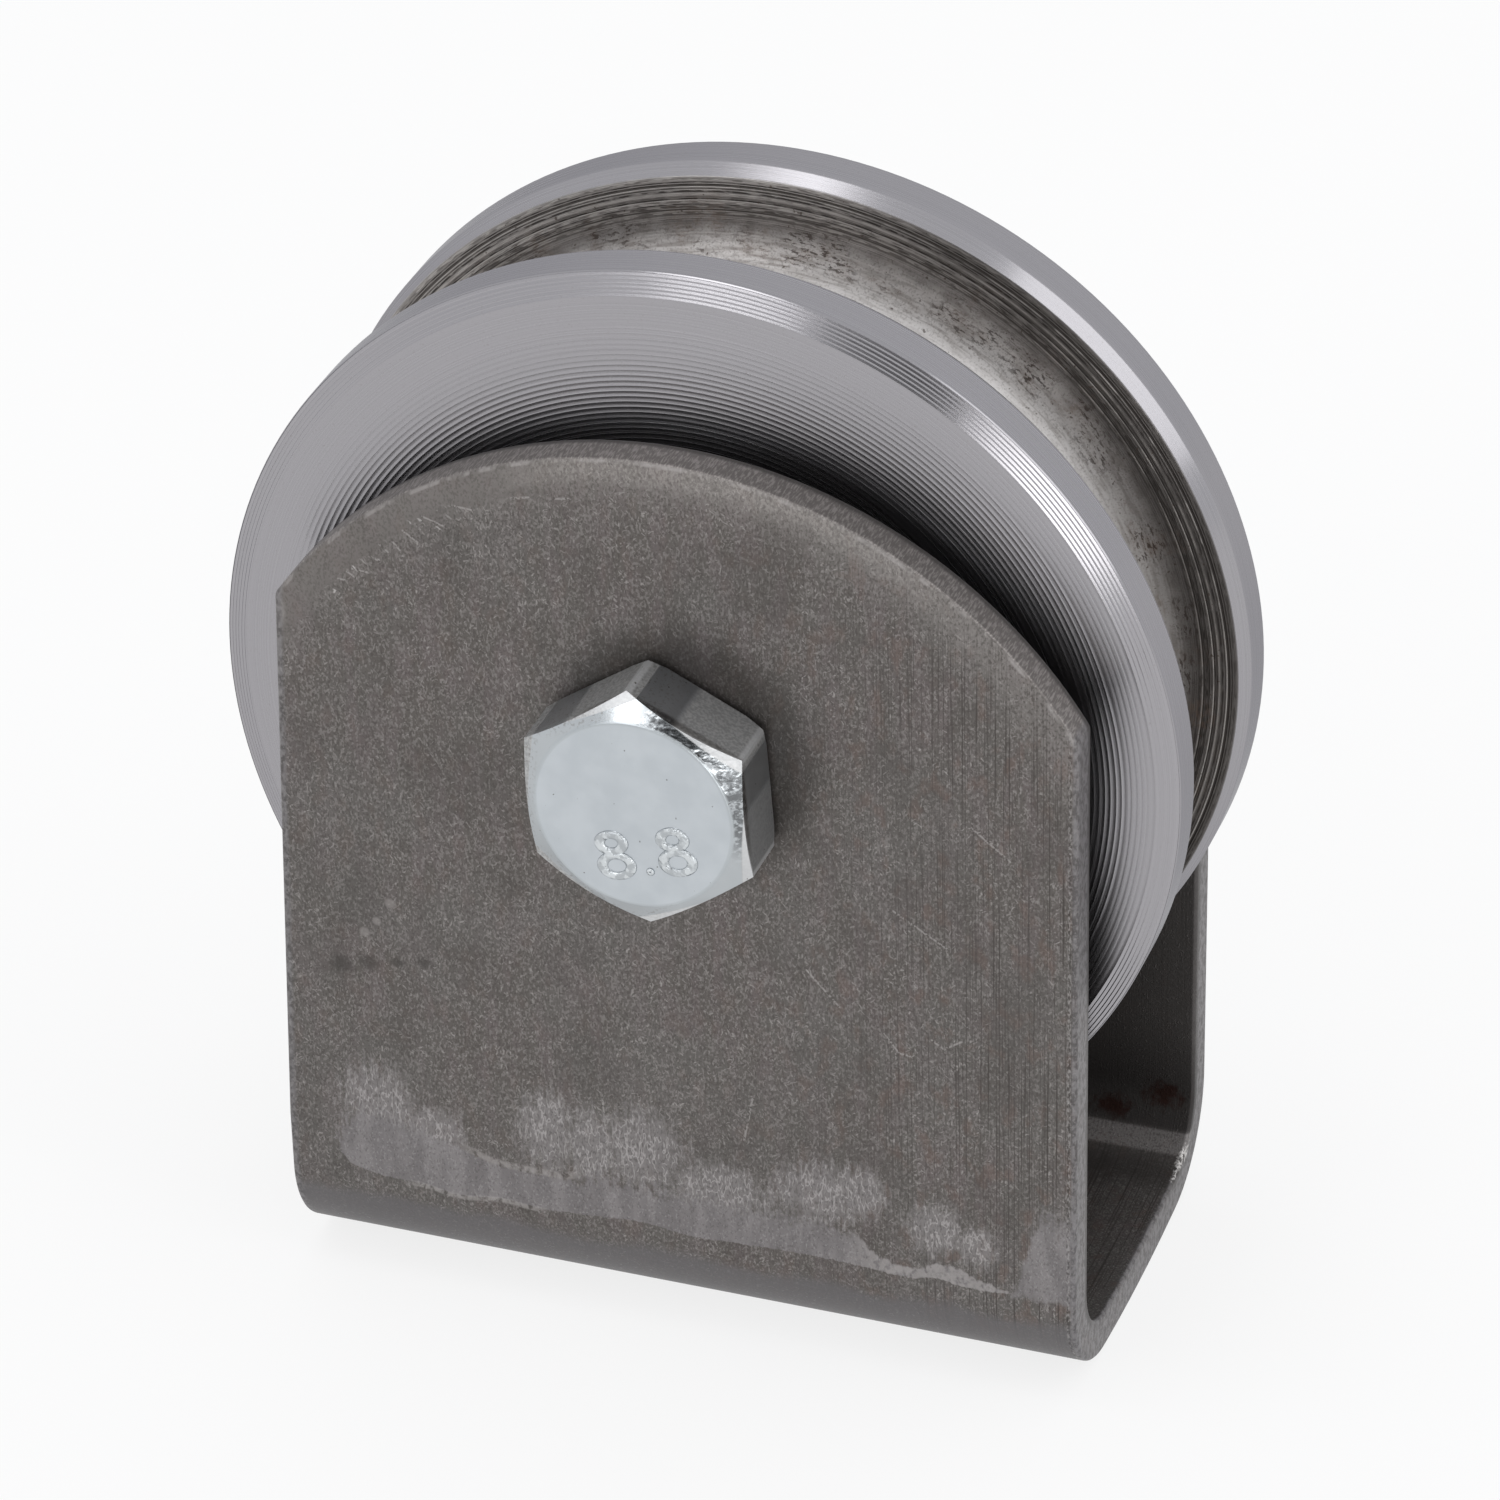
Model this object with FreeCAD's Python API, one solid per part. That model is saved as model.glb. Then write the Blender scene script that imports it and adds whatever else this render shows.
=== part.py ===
import FreeCAD, Part
import math
import os

# A grooved steel wheel that leads a brake cable round a corner. It turns on two ball bearings
# on a bolt, between the ears of a flat bar folded into a U. Lengths are millimetres. X runs
# along the width of the bar, Y along the bolt towards the nut, and Z up. The origin is the
# middle of the bracket's underside.

# Bracket
bar_width = 60.0
bar_thickness = 3.0
bend_inner_radius = 5.0
rolled_edge_radius = 0.5
crown_rise = 16.8
crown_above_axle = 24.2
ear_corner_radius = 3.0
gap_under_wheel = 9.6

# Wheel
wheel_diameter = 71.0
centre_web_width = 4.0
centre_web_height = 2.0
face_chamfer_radial = 1.65
face_chamfer_axial = 0.6
groove_mouth_width = 13.3
groove_depth = 9.2
mouth_chamfer_radial = 0.8
mouth_chamfer_axial = 0.55
groove_wall_taper = 6.0
bore_chamfer = 0.5

# Bolt
bolt_diameter = 10.0
head_across_flats = 16.0
head_height = 6.4
head_washer_face_height = 0.45
head_washer_face_diameter = 14.8
head_top_diameter = 14.5
head_chamfer_angle = 30.0
head_turn = 3.8
bolt_overhang = 5.0
bolt_end_chamfer = 1.0
thread_length = 26.0
thread_relief = 0.12

# Lock nut and its washer
nut_across_flats = 16.0
nut_hexagon_height = 7.0
nut_collar_height = 3.0
nut_collar_wall = 0.8
nut_collar_rounding = 1.2
nut_face_diameter = 15.2
nut_chamfer_angle = 30.0
nut_turn = 17.0
insert_width = 2.4
insert_outer_diameter = 12.4
washer_diameter = 20.0
washer_thickness = 2.0

# Bearings and spacers
bearing_outer_diameter = 30.0
bearing_width = 9.0
ball_diameter = 4.76
ball_count = 8
raceway_depth = 0.9
ring_chamfer = 0.4
cage_thickness = 1.6
cage_side_wall = 0.6
seal_thickness = 0.8
seal_inset = 0.2
seal_seat_depth = 0.8
spacer_thickness = 2.5
spacer_wall = 2.4

# Clearances
ear_hole_clearance = 0.5
washer_bore_clearance = 0.25
bolt_fit_clearance = 0.04
thread_fit_clearance = 0.03
ball_clearance = 0.05
pocket_clearance = 0.1
seal_lip_clearance = 0.3

# Sizes that follow from the ones above
bolt_radius = bolt_diameter / 2
wheel_radius = wheel_diameter / 2
wheel_width = 2 * bearing_width + centre_web_width
inner_gap = wheel_width + 2 * spacer_thickness
ear_inner_y = inner_gap / 2
ear_outer_y = ear_inner_y + bar_thickness
axle_height = bar_thickness + gap_under_wheel + wheel_radius
crown_height = axle_height + crown_above_axle

bearing_bore_radius = bolt_radius + bolt_fit_clearance
bearing_outer_radius = bearing_outer_diameter / 2
ball_radius = ball_diameter / 2
pitch_radius = (bearing_bore_radius + bearing_outer_radius) / 2
race_radius = ball_radius + ball_clearance
inner_land_radius = pitch_radius - race_radius + raceway_depth
outer_land_radius = pitch_radius + race_radius - raceway_depth
bearing_centre_y = (centre_web_width + bearing_width) / 2
seal_outer_radius = outer_land_radius + seal_seat_depth

washer_back_y = ear_outer_y + washer_thickness
nut_height = nut_hexagon_height + nut_collar_height
nut_collar_radius = insert_outer_diameter / 2 + nut_collar_wall
nut_back_y = washer_back_y + nut_height
bolt_end_y = nut_back_y + bolt_overhang

AXIS = FreeCAD.Vector(0, 1, 0)
ORIGIN = FreeCAD.Vector(0, 0, 0)

# How far a cutting solid runs past what it cuts, and how near counts as the same place
CUT_MARGIN = 1.0
SAME_PLACE = 1e-6


def save(node, shape):
    """Writes one sub-part as a STEP file."""
    shape.exportStep("parts/" + node + ".step")


def on_axle(shape):
    """Moves a piece made about the Y axis up to the height of the axle."""
    placed = shape.copy()
    placed.translate(FreeCAD.Vector(0, 0, axle_height))
    return placed


def turned(outline):
    """Turns a closed outline of (radius, y) points round the Y axis."""
    corners = [FreeCAD.Vector(radius, y, 0) for radius, y in outline]
    face = Part.Face(Part.makePolygon(corners + corners[:1]))
    return face.revolve(ORIGIN, AXIS, 360)


def ring(inner_radius, outer_radius, low_y, high_y, chamfer=0.0):
    """A flat-faced ring about the Y axis, with its outer edges chamfered."""
    outline = [
        (inner_radius, low_y),
        (outer_radius - chamfer, low_y),
        (outer_radius, low_y + chamfer),
        (outer_radius, high_y - chamfer),
        (outer_radius - chamfer, high_y),
        (inner_radius, high_y),
    ]
    if chamfer == 0:
        outline = [outline[0], outline[1], outline[4], outline[5]]
    return turned(outline)


def hexagon(across_flats, low_y, high_y, turn):
    """A hexagonal prism about the Y axis, one corner turned by an angle from straight up."""
    corner_radius = across_flats / math.sqrt(3)
    corners = []
    for step in range(6):
        angle = math.radians(90 + turn + 60 * step)
        x = corner_radius * math.cos(angle)
        z = corner_radius * math.sin(angle)
        corners.append(FreeCAD.Vector(x, low_y, z))
    face = Part.Face(Part.makePolygon(corners + corners[:1]))
    return face.extrude(AXIS * (high_y - low_y))


def corner_cone(across_flats, face_diameter, angle, low_y, high_y, face_is_low):
    """The turned solid that trims a hexagon's corners to a shallow cone at one end."""
    face_radius = face_diameter / 2
    outer_radius = across_flats / math.sqrt(3) + CUT_MARGIN
    drop = (outer_radius - face_radius) * math.tan(math.radians(angle))
    if face_is_low:
        slope = [(face_radius, low_y), (outer_radius, low_y + drop), (outer_radius, high_y)]
    else:
        slope = [(outer_radius, low_y), (outer_radius, high_y - drop), (face_radius, high_y)]
    return turned([(0, low_y)] + slope + [(0, high_y)])


def make_bracket():
    """The flat bar folded into a U, its ears cut to a round crown and drilled for the bolt."""
    bend_outer_radius = bend_inner_radius + bar_thickness
    bend_y = ear_outer_y - bend_outer_radius
    diagonal = math.sqrt(0.5)
    blank_top = crown_height + CUT_MARGIN
    half_width = bar_width / 2

    def at(y, z):
        return FreeCAD.Vector(-half_width, y, z)

    def bend(side, radius):
        """The middle point of a bend's quarter circle."""
        return at(side * (bend_y + radius * diagonal), bend_outer_radius - radius * diagonal)

    # The fold's section, from the front ear's top down its outside and back along its inside
    front_top = at(-ear_outer_y, blank_top)
    front_bend = at(-ear_outer_y, bend_outer_radius)
    back_bend = at(ear_outer_y, bend_outer_radius)
    back_top = at(ear_outer_y, blank_top)
    back_top_inside = at(ear_inner_y, blank_top)
    back_bend_inside = at(ear_inner_y, bend_outer_radius)
    front_bend_inside = at(-ear_inner_y, bend_outer_radius)
    front_top_inside = at(-ear_inner_y, blank_top)
    edges = [
        Part.LineSegment(front_top, front_bend),
        Part.Arc(front_bend, bend(-1, bend_outer_radius), at(-bend_y, 0)),
        Part.LineSegment(at(-bend_y, 0), at(bend_y, 0)),
        Part.Arc(at(bend_y, 0), bend(1, bend_outer_radius), back_bend),
        Part.LineSegment(back_bend, back_top),
        Part.LineSegment(back_top, back_top_inside),
        Part.LineSegment(back_top_inside, back_bend_inside),
        Part.Arc(back_bend_inside, bend(1, bend_inner_radius), at(bend_y, bar_thickness)),
        Part.LineSegment(at(bend_y, bar_thickness), at(-bend_y, bar_thickness)),
        Part.Arc(at(-bend_y, bar_thickness), bend(-1, bend_inner_radius), front_bend_inside),
        Part.LineSegment(front_bend_inside, front_top_inside),
        Part.LineSegment(front_top_inside, front_top),
    ]
    section = Part.Face(Part.Wire([edge.toShape() for edge in edges]))
    folded_bar = section.extrude(FreeCAD.Vector(bar_width, 0, 0))

    # The crown's arc and the two small corner arcs touch one another and the straight sides.
    crown_radius = (half_width ** 2 + crown_rise ** 2) / (2 * crown_rise)
    crown_centre_z = crown_height - crown_radius
    corner_x = half_width - ear_corner_radius
    corner_z = crown_centre_z + math.sqrt((crown_radius - ear_corner_radius) ** 2 - corner_x ** 2)
    reach = crown_radius / (crown_radius - ear_corner_radius)
    touch_x = corner_x * reach
    touch_z = crown_centre_z + (corner_z - crown_centre_z) * reach
    middle_angle = math.atan2(corner_z - crown_centre_z, corner_x) / 2
    middle_x = corner_x + ear_corner_radius * math.cos(middle_angle)
    middle_z = corner_z + ear_corner_radius * math.sin(middle_angle)

    def ahead(x, z):
        """A point in the plane just in front of the front ear."""
        return FreeCAD.Vector(x, -ear_outer_y - CUT_MARGIN, z)

    left_touch = ahead(-touch_x, touch_z)
    right_touch = ahead(touch_x, touch_z)
    left_side = ahead(-half_width, corner_z)
    right_side = ahead(half_width, corner_z)
    left_foot = ahead(-half_width, -CUT_MARGIN)
    right_foot = ahead(half_width, -CUT_MARGIN)
    outline = [
        Part.Arc(left_touch, ahead(0, crown_height), right_touch).toShape(),
        Part.Arc(right_touch, ahead(middle_x, middle_z), right_side).toShape(),
        Part.makeLine(right_side, right_foot),
        Part.makeLine(right_foot, left_foot),
        Part.makeLine(left_foot, left_side),
        Part.Arc(left_side, ahead(-middle_x, middle_z), left_touch).toShape(),
    ]
    through = 2 * (ear_outer_y + CUT_MARGIN)
    silhouette = Part.Face(Part.Wire(outline)).extrude(AXIS * through)
    bracket = folded_bar.common(silhouette)

    # Every edge that runs round the bar's border is rounded. Those across the bar are not.
    border = []
    for edge in bracket.Edges:
        middle = edge.valueAt((edge.FirstParameter + edge.LastParameter) / 2)
        direction = edge.tangentAt((edge.FirstParameter + edge.LastParameter) / 2)
        on_a_side = abs(abs(middle.x) - half_width) < SAME_PLACE
        on_the_crown = middle.z > corner_z - SAME_PLACE
        across_the_border = on_the_crown and abs(direction.y) > 0.5
        if (on_a_side or on_the_crown) and not across_the_border:
            border.append(edge)
    bracket = bracket.makeFillet(rolled_edge_radius, border)

    hole_radius = bolt_radius + ear_hole_clearance
    hole = Part.makeCylinder(hole_radius, through, ahead(0, axle_height), AXIS)
    return bracket.cut(hole)


def make_wheel():
    """The turned wheel: flat faces, a deep round-bottomed groove and a seat for each bearing."""
    half = wheel_width / 2
    face_radius = wheel_radius - face_chamfer_radial
    rim_y = half - face_chamfer_axial
    mouth_y = groove_mouth_width / 2
    wall_radius = wheel_radius - mouth_chamfer_radial
    wall_y = mouth_y - mouth_chamfer_axial
    floor_radius = wheel_radius - groove_depth
    taper = math.radians(groove_wall_taper)
    wall_depth = wall_radius - floor_radius
    # The floor's arc touches both tapered walls.
    arc_radius = (wall_y * math.cos(taper) - wall_depth * math.sin(taper)) / (1 - math.sin(taper))
    arc_centre = floor_radius + arc_radius
    touch_radius = arc_centre + arc_radius * math.sin(taper)
    touch_y = arc_radius * math.cos(taper)
    seat_y = centre_web_width / 2
    web_radius = bearing_outer_radius - centre_web_height

    def at(radius, y):
        return FreeCAD.Vector(radius, y, 0)

    before_groove = [
        (web_radius, -seat_y),
        (bearing_outer_radius, -seat_y),
        (bearing_outer_radius, -half + bore_chamfer),
        (bearing_outer_radius + bore_chamfer, -half),
        (face_radius, -half),
        (wheel_radius, -rim_y),
        (wheel_radius, -mouth_y),
        (wall_radius, -wall_y),
        (touch_radius, -touch_y),
    ]
    after_groove = [(radius, -y) for radius, y in reversed(before_groove)]
    edges = []
    for run in (before_groove, after_groove):
        for start, end in zip(run, run[1:]):
            edges.append(Part.makeLine(at(*start), at(*end)))
    floor = Part.Arc(at(touch_radius, -touch_y), at(floor_radius, 0), at(touch_radius, touch_y))
    edges.insert(len(before_groove) - 1, floor.toShape())
    edges.append(Part.makeLine(at(web_radius, seat_y), at(web_radius, -seat_y)))
    return Part.Face(Part.Wire(edges)).revolve(ORIGIN, AXIS, 360)


def make_bolt():
    """The bolt: a chamfered hexagon head with a washer face, a plain shank and a threaded end."""
    seat_y = -ear_outer_y
    head_y = seat_y - head_height
    hexagon_y = seat_y - head_washer_face_height
    head = hexagon(head_across_flats, head_y, hexagon_y, head_turn)
    head = head.common(corner_cone(head_across_flats, head_top_diameter, head_chamfer_angle,
                                   head_y, hexagon_y, True))
    thread_radius = bolt_radius - thread_relief
    shank = turned([
        (0, hexagon_y),
        (head_washer_face_diameter / 2, hexagon_y),
        (head_washer_face_diameter / 2, seat_y),
        (bolt_radius, seat_y),
        (bolt_radius, bolt_end_y - thread_length),
        (thread_radius, bolt_end_y - thread_length + thread_relief),
        (thread_radius, bolt_end_y - bolt_end_chamfer),
        (thread_radius - bolt_end_chamfer, bolt_end_y),
        (0, bolt_end_y),
    ])
    return head.fuse(shank).removeSplitter()


def make_nut():
    """The lock nut: a hexagon chamfered at its seat, and a round collar that holds the insert."""
    hexagon_back_y = washer_back_y + nut_hexagon_height
    body = hexagon(nut_across_flats, washer_back_y, hexagon_back_y, nut_turn)
    for at_the_seat in (True, False):
        body = body.common(corner_cone(nut_across_flats, nut_face_diameter, nut_chamfer_angle,
                                       washer_back_y, hexagon_back_y, at_the_seat))
    collar_base = FreeCAD.Vector(0, hexagon_back_y, 0)
    collar = Part.makeCylinder(nut_collar_radius, nut_collar_height, collar_base, AXIS)
    far_rim = [edge for edge in collar.Edges if abs(edge.CenterOfMass.y - nut_back_y) < SAME_PLACE]
    collar = collar.makeFillet(nut_collar_rounding, far_rim)
    body = body.fuse(collar).removeSplitter()

    bore_radius = bolt_radius - thread_relief + thread_fit_clearance
    bore_base = FreeCAD.Vector(0, washer_back_y - CUT_MARGIN, 0)
    bore = Part.makeCylinder(bore_radius, nut_height + 2 * CUT_MARGIN, bore_base, AXIS)
    insert_back_y = nut_back_y - nut_collar_rounding / 2
    insert_y = insert_back_y - insert_width
    pocket_base = FreeCAD.Vector(0, insert_y, 0)
    pocket = Part.makeCylinder(insert_outer_diameter / 2, insert_width, pocket_base, AXIS)
    insert = ring(bore_radius, insert_outer_diameter / 2, insert_y, insert_back_y)
    return body.cut(bore).cut(pocket), insert


def make_bearing(centre_y):
    """One deep-groove ball bearing: two rings, the balls, their cage and two seals."""
    half = bearing_width / 2
    low = centre_y - half
    high = centre_y + half
    low_seat = low + seal_inset + seal_thickness
    high_seat = high - seal_inset - seal_thickness
    race = Part.makeTorus(pitch_radius, race_radius, FreeCAD.Vector(0, centre_y, 0), AXIS)
    inner_ring = ring(bearing_bore_radius, inner_land_radius, low, high).cut(race)
    outer_ring = turned([
        (seal_outer_radius, low),
        (bearing_outer_radius - ring_chamfer, low),
        (bearing_outer_radius, low + ring_chamfer),
        (bearing_outer_radius, high - ring_chamfer),
        (bearing_outer_radius - ring_chamfer, high),
        (seal_outer_radius, high),
        (seal_outer_radius, high_seat),
        (outer_land_radius, high_seat),
        (outer_land_radius, low_seat),
        (seal_outer_radius, low_seat),
    ]).cut(race)
    lip_radius = inner_land_radius + seal_lip_clearance
    low_seal = ring(lip_radius, seal_outer_radius, low + seal_inset, low_seat)
    high_seal = ring(lip_radius, seal_outer_radius, high_seat, high - seal_inset)

    cage_half = ball_radius + pocket_clearance + cage_side_wall
    cage_inner_radius = pitch_radius - cage_thickness / 2
    cage_outer_radius = pitch_radius + cage_thickness / 2
    cage = ring(cage_inner_radius, cage_outer_radius, centre_y - cage_half, centre_y + cage_half)
    balls = []
    for step in range(ball_count):
        angle = 2 * math.pi * step / ball_count
        outward = FreeCAD.Vector(math.cos(angle), 0, math.sin(angle))
        balls.append(Part.makeSphere(ball_radius, outward * pitch_radius + AXIS * centre_y))
        pocket_radius = ball_radius + pocket_clearance
        pocket = Part.makeCylinder(pocket_radius, bearing_outer_radius, AXIS * centre_y, outward)
        cage = cage.cut(pocket)
    return {
        "inner_ring": inner_ring,
        "outer_ring": outer_ring,
        "low_seal": low_seal,
        "high_seal": high_seal,
        "cage": cage,
        "balls": Part.makeCompound(balls),
    }


os.makedirs("parts", exist_ok=True)

save("bracket", make_bracket())
save("wheel", on_axle(make_wheel()))
save("axle_bolt", on_axle(make_bolt()))

nut, nut_insert = make_nut()
save("lock_nut", on_axle(nut))
save("nut_insert", on_axle(nut_insert))
washer_bore_radius = bolt_radius + washer_bore_clearance
save("nut_washer", on_axle(ring(washer_bore_radius, washer_diameter / 2, ear_outer_y, washer_back_y)))

# The inner rings and the three spacers are clamped between the ears by the bolt.
spacer_faces = {
    "front_spacer": (-ear_inner_y, -wheel_width / 2),
    "centre_spacer": (-centre_web_width / 2, centre_web_width / 2),
    "back_spacer": (wheel_width / 2, ear_inner_y),
}
for node, (low_face, high_face) in spacer_faces.items():
    save(node, on_axle(ring(bearing_bore_radius, bearing_bore_radius + spacer_wall, low_face, high_face)))

for side, direction in (("front", -1), ("back", 1)):
    bearing = make_bearing(direction * bearing_centre_y)
    outward_seal = "low_seal" if side == "front" else "high_seal"
    inward_seal = "high_seal" if side == "front" else "low_seal"
    save(side + "_outer_ring", on_axle(bearing["outer_ring"]))
    save(side + "_inner_ring", on_axle(bearing["inner_ring"]))
    save(side + "_balls", on_axle(bearing["balls"]))
    save(side + "_cage", on_axle(bearing["cage"]))
    save(side + "_outer_seal", on_axle(bearing[outward_seal]))
    save(side + "_inner_seal", on_axle(bearing[inward_seal]))
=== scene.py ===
import functools
import math

import bmesh
import bpy
from mathutils import Matrix, Vector


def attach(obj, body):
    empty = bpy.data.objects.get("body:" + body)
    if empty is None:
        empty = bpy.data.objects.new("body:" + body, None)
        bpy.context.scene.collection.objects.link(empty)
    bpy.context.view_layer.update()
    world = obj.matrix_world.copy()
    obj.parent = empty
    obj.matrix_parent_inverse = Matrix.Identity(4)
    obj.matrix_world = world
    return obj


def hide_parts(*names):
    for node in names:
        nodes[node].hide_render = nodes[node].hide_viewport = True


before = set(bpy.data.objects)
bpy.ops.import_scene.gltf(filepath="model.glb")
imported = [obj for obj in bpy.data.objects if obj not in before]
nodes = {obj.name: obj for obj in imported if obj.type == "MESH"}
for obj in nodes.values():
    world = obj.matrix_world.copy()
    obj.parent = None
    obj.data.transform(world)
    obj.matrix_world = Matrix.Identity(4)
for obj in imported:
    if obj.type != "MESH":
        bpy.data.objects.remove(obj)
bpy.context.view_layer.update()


# Bracket: one flat bar of hot-rolled mild steel, pressed into a U over a die. Both ears are cut
# to a round crown and drilled for the bolt. It is left bare, so it shows its dark mill scale,
# the fine lines of the rolls and a paler, rubbed band where it slid over the edge of the die.
MM = 0.001
AXLE_HEIGHT = 48.1 * MM
BAR_HALF_WIDTH = 30.0 * MM
BAR_THICKNESS = 3.0 * MM
EAR_OUTER_Y = 16.5 * MM
BEND_RADIUS = 8.0 * MM
BASE_SAG = 0.35 * MM
CROWN_HEIGHT = 72.3 * MM
CROWN_RADIUS = 35.186 * MM
EAR_CORNER_RADIUS = 1.0 * MM
LEFT_EDGE = -30.45 * MM
LEAN_START = 13.0 * MM
LEFT_EDGE_LEAN = 2.05
BORDER_ROUNDING = 0.3 * MM
BORDER_SHARPNESS = 50.0
EAR_HOLE_RADIUS = 5.5 * MM
EAR_HOLE_STEPS = 64
BEND_STEPS = 18
BASE_STEPS = 12
CROWN_STEPS = 72
CORNER_STEPS = 6
CUT_MARGIN = 1.0 * MM
SAME_PLACE = 0.001 * MM
CELL_MARGIN = 2.5
X_AXIS = (1, 0, 0)
Y_AXIS = (0, 1, 0)


def open_all():
    """Enters edit mode with the whole mesh of the active piece selected."""
    bpy.ops.object.mode_set(mode='EDIT')
    bpy.ops.mesh.select_all(action='SELECT')


def close_outwards():
    """Turns all faces outwards and leaves edit mode."""
    bpy.ops.mesh.select_all(action='SELECT')
    bpy.ops.mesh.normals_make_consistent(inside=False)
    bpy.ops.object.mode_set(mode='OBJECT')


def put_pen(name, place):
    """Starts a new outline with a single point, left selected in edit mode."""
    bpy.ops.object.select_all(action='DESELECT')
    bpy.ops.mesh.primitive_plane_add(size=MM)
    outline = bpy.context.object
    outline.name = name
    open_all()
    bpy.ops.mesh.merge(type='CENTER')
    bpy.ops.transform.translate(value=place)
    return outline


def draw_to(*places):
    """Draws straight lines on from the last point of the outline."""
    points = bmesh.from_edit_mesh(bpy.context.object.data).verts
    here = next(point.co.copy() for point in points if point.select)
    for place in places:
        step = Vector(place) - here
        bpy.ops.mesh.extrude_region_move(TRANSFORM_OT_translate={"value": step})
        here = Vector(place)


def draw_arc(centre, axis, degrees, steps):
    """Draws an arc on from the last point, right-handed about an axis."""
    bpy.ops.mesh.spin(steps=steps, angle=math.radians(-degrees), center=centre, axis=axis)


def close_up():
    """Joins the points that lie in one place and leaves the whole mesh selected."""
    bpy.ops.mesh.select_all(action='SELECT')
    bpy.ops.mesh.remove_doubles(threshold=SAME_PLACE)
    bpy.ops.mesh.select_all(action='SELECT')


def push_out(step):
    """Fills the closed outline and pushes it out into a solid."""
    close_up()
    bpy.ops.mesh.edge_face_add()
    bpy.ops.mesh.extrude_region_move(TRANSFORM_OT_translate={"value": step})
    close_outwards()


def pick(piece):
    """Makes one piece the only selected and active one."""
    bpy.ops.object.select_all(action='DESELECT')
    piece.select_set(True)
    bpy.context.view_layer.objects.active = piece


def finish_with(piece, kind, **settings):
    """Adds a modifier to a piece and applies it."""
    pick(piece)
    modifier = piece.modifiers.new(kind.lower(), kind)
    for name, value in settings.items():
        setattr(modifier, name, value)
    bpy.ops.object.modifier_apply(modifier=modifier.name)


def cut_with(piece, tool, how):
    """Cuts or joins a piece with another solid, which is used up."""
    finish_with(piece, 'BOOLEAN', object=tool, operation=how, solver='EXACT')
    bpy.data.objects.remove(tool)


def smooth_up_to(piece, degrees, flats_first=True):
    """Shades a piece smooth but for edges sharper than an angle."""
    pick(piece)
    bpy.ops.object.shade_smooth_by_angle(angle=math.radians(degrees))
    if flats_first:
        finish_with(piece, 'WEIGHTED_NORMAL', keep_sharp=True, weight=90)


blank_top = CROWN_HEIGHT + CUT_MARGIN
bar_left = LEFT_EDGE - CUT_MARGIN
bar_right = BAR_HALF_WIDTH + CUT_MARGIN
bend_y = EAR_OUTER_Y - BEND_RADIUS
bend_z = BEND_RADIUS + BASE_SAG
base_arc = (bend_y ** 2 + bend_z ** 2 - BEND_RADIUS ** 2) / (2 * (bend_z - BEND_RADIUS))
base_turn = math.degrees(math.asin(bend_y / (base_arc - BEND_RADIUS)))
bracket = put_pen("bracket_bar", (bar_left, -EAR_OUTER_Y, blank_top))
draw_to((bar_left, -EAR_OUTER_Y, bend_z))
draw_arc((bar_left, -bend_y, bend_z), X_AXIS, 90 - base_turn, BEND_STEPS)
draw_arc((bar_left, 0, base_arc), X_AXIS, 2 * base_turn, BASE_STEPS)
draw_arc((bar_left, bend_y, bend_z), X_AXIS, 90 - base_turn, BEND_STEPS)
draw_to((bar_left, EAR_OUTER_Y, blank_top))
close_up()
bpy.ops.mesh.extrude_region_move(TRANSFORM_OT_translate={"value": (bar_right - bar_left, 0, 0)})
close_outwards()
finish_with(bracket, 'SOLIDIFY', thickness=BAR_THICKNESS, offset=-1, use_even_offset=True)

crown_centre_z = CROWN_HEIGHT - CROWN_RADIUS
corner_reach = CROWN_RADIUS - EAR_CORNER_RADIUS
right_x = BAR_HALF_WIDTH - EAR_CORNER_RADIUS
right_z = crown_centre_z + math.sqrt(corner_reach ** 2 - right_x ** 2)
right_turn = math.degrees(math.atan2(right_z - crown_centre_z, right_x))
lean = math.radians(LEFT_EDGE_LEAN)
lean_start = Vector((LEFT_EDGE, LEAN_START))
lean_line = Vector((math.sin(lean), math.cos(lean)))
lean_side = Vector((math.cos(lean), -math.sin(lean)))
offset = lean_start + lean_side * EAR_CORNER_RADIUS - Vector((0, crown_centre_z))
nearest = -offset.dot(lean_line)
run = nearest + math.sqrt(nearest ** 2 - offset.length_squared + corner_reach ** 2)
left_centre = lean_start + lean_side * EAR_CORNER_RADIUS + lean_line * run
left_start = left_centre - lean_side * EAR_CORNER_RADIUS
left_turn = math.degrees(math.atan2(left_centre.y - crown_centre_z, -left_centre.x))
ahead_y = -EAR_OUTER_Y - CUT_MARGIN
ear_template = put_pen("ear_template", (LEFT_EDGE, ahead_y, -CUT_MARGIN))
draw_to((LEFT_EDGE, ahead_y, LEAN_START), (left_start.x, ahead_y, left_start.y))
draw_arc((left_centre.x, ahead_y, left_centre.y), Y_AXIS, left_turn - LEFT_EDGE_LEAN, CORNER_STEPS)
draw_arc((0, ahead_y, crown_centre_z), Y_AXIS, 180 - left_turn - right_turn, CROWN_STEPS)
draw_arc((right_x, ahead_y, right_z), Y_AXIS, right_turn, CORNER_STEPS)
draw_to((BAR_HALF_WIDTH, ahead_y, -CUT_MARGIN), (LEFT_EDGE, ahead_y, -CUT_MARGIN))
push_out((0, -2 * ahead_y, 0))
cut_with(bracket, ear_template, 'INTERSECT')

pick(bracket)
bpy.ops.object.mode_set(mode='EDIT')
bpy.ops.mesh.select_mode(type='EDGE')
bpy.ops.mesh.select_all(action='DESELECT')
bpy.ops.mesh.edges_select_sharp(sharpness=math.radians(BORDER_SHARPNESS))
bpy.ops.mesh.bevel(offset=BORDER_ROUNDING, segments=3, affect='EDGES')
bpy.ops.mesh.select_mode(type='VERT')
bpy.ops.object.mode_set(mode='OBJECT')

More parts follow.
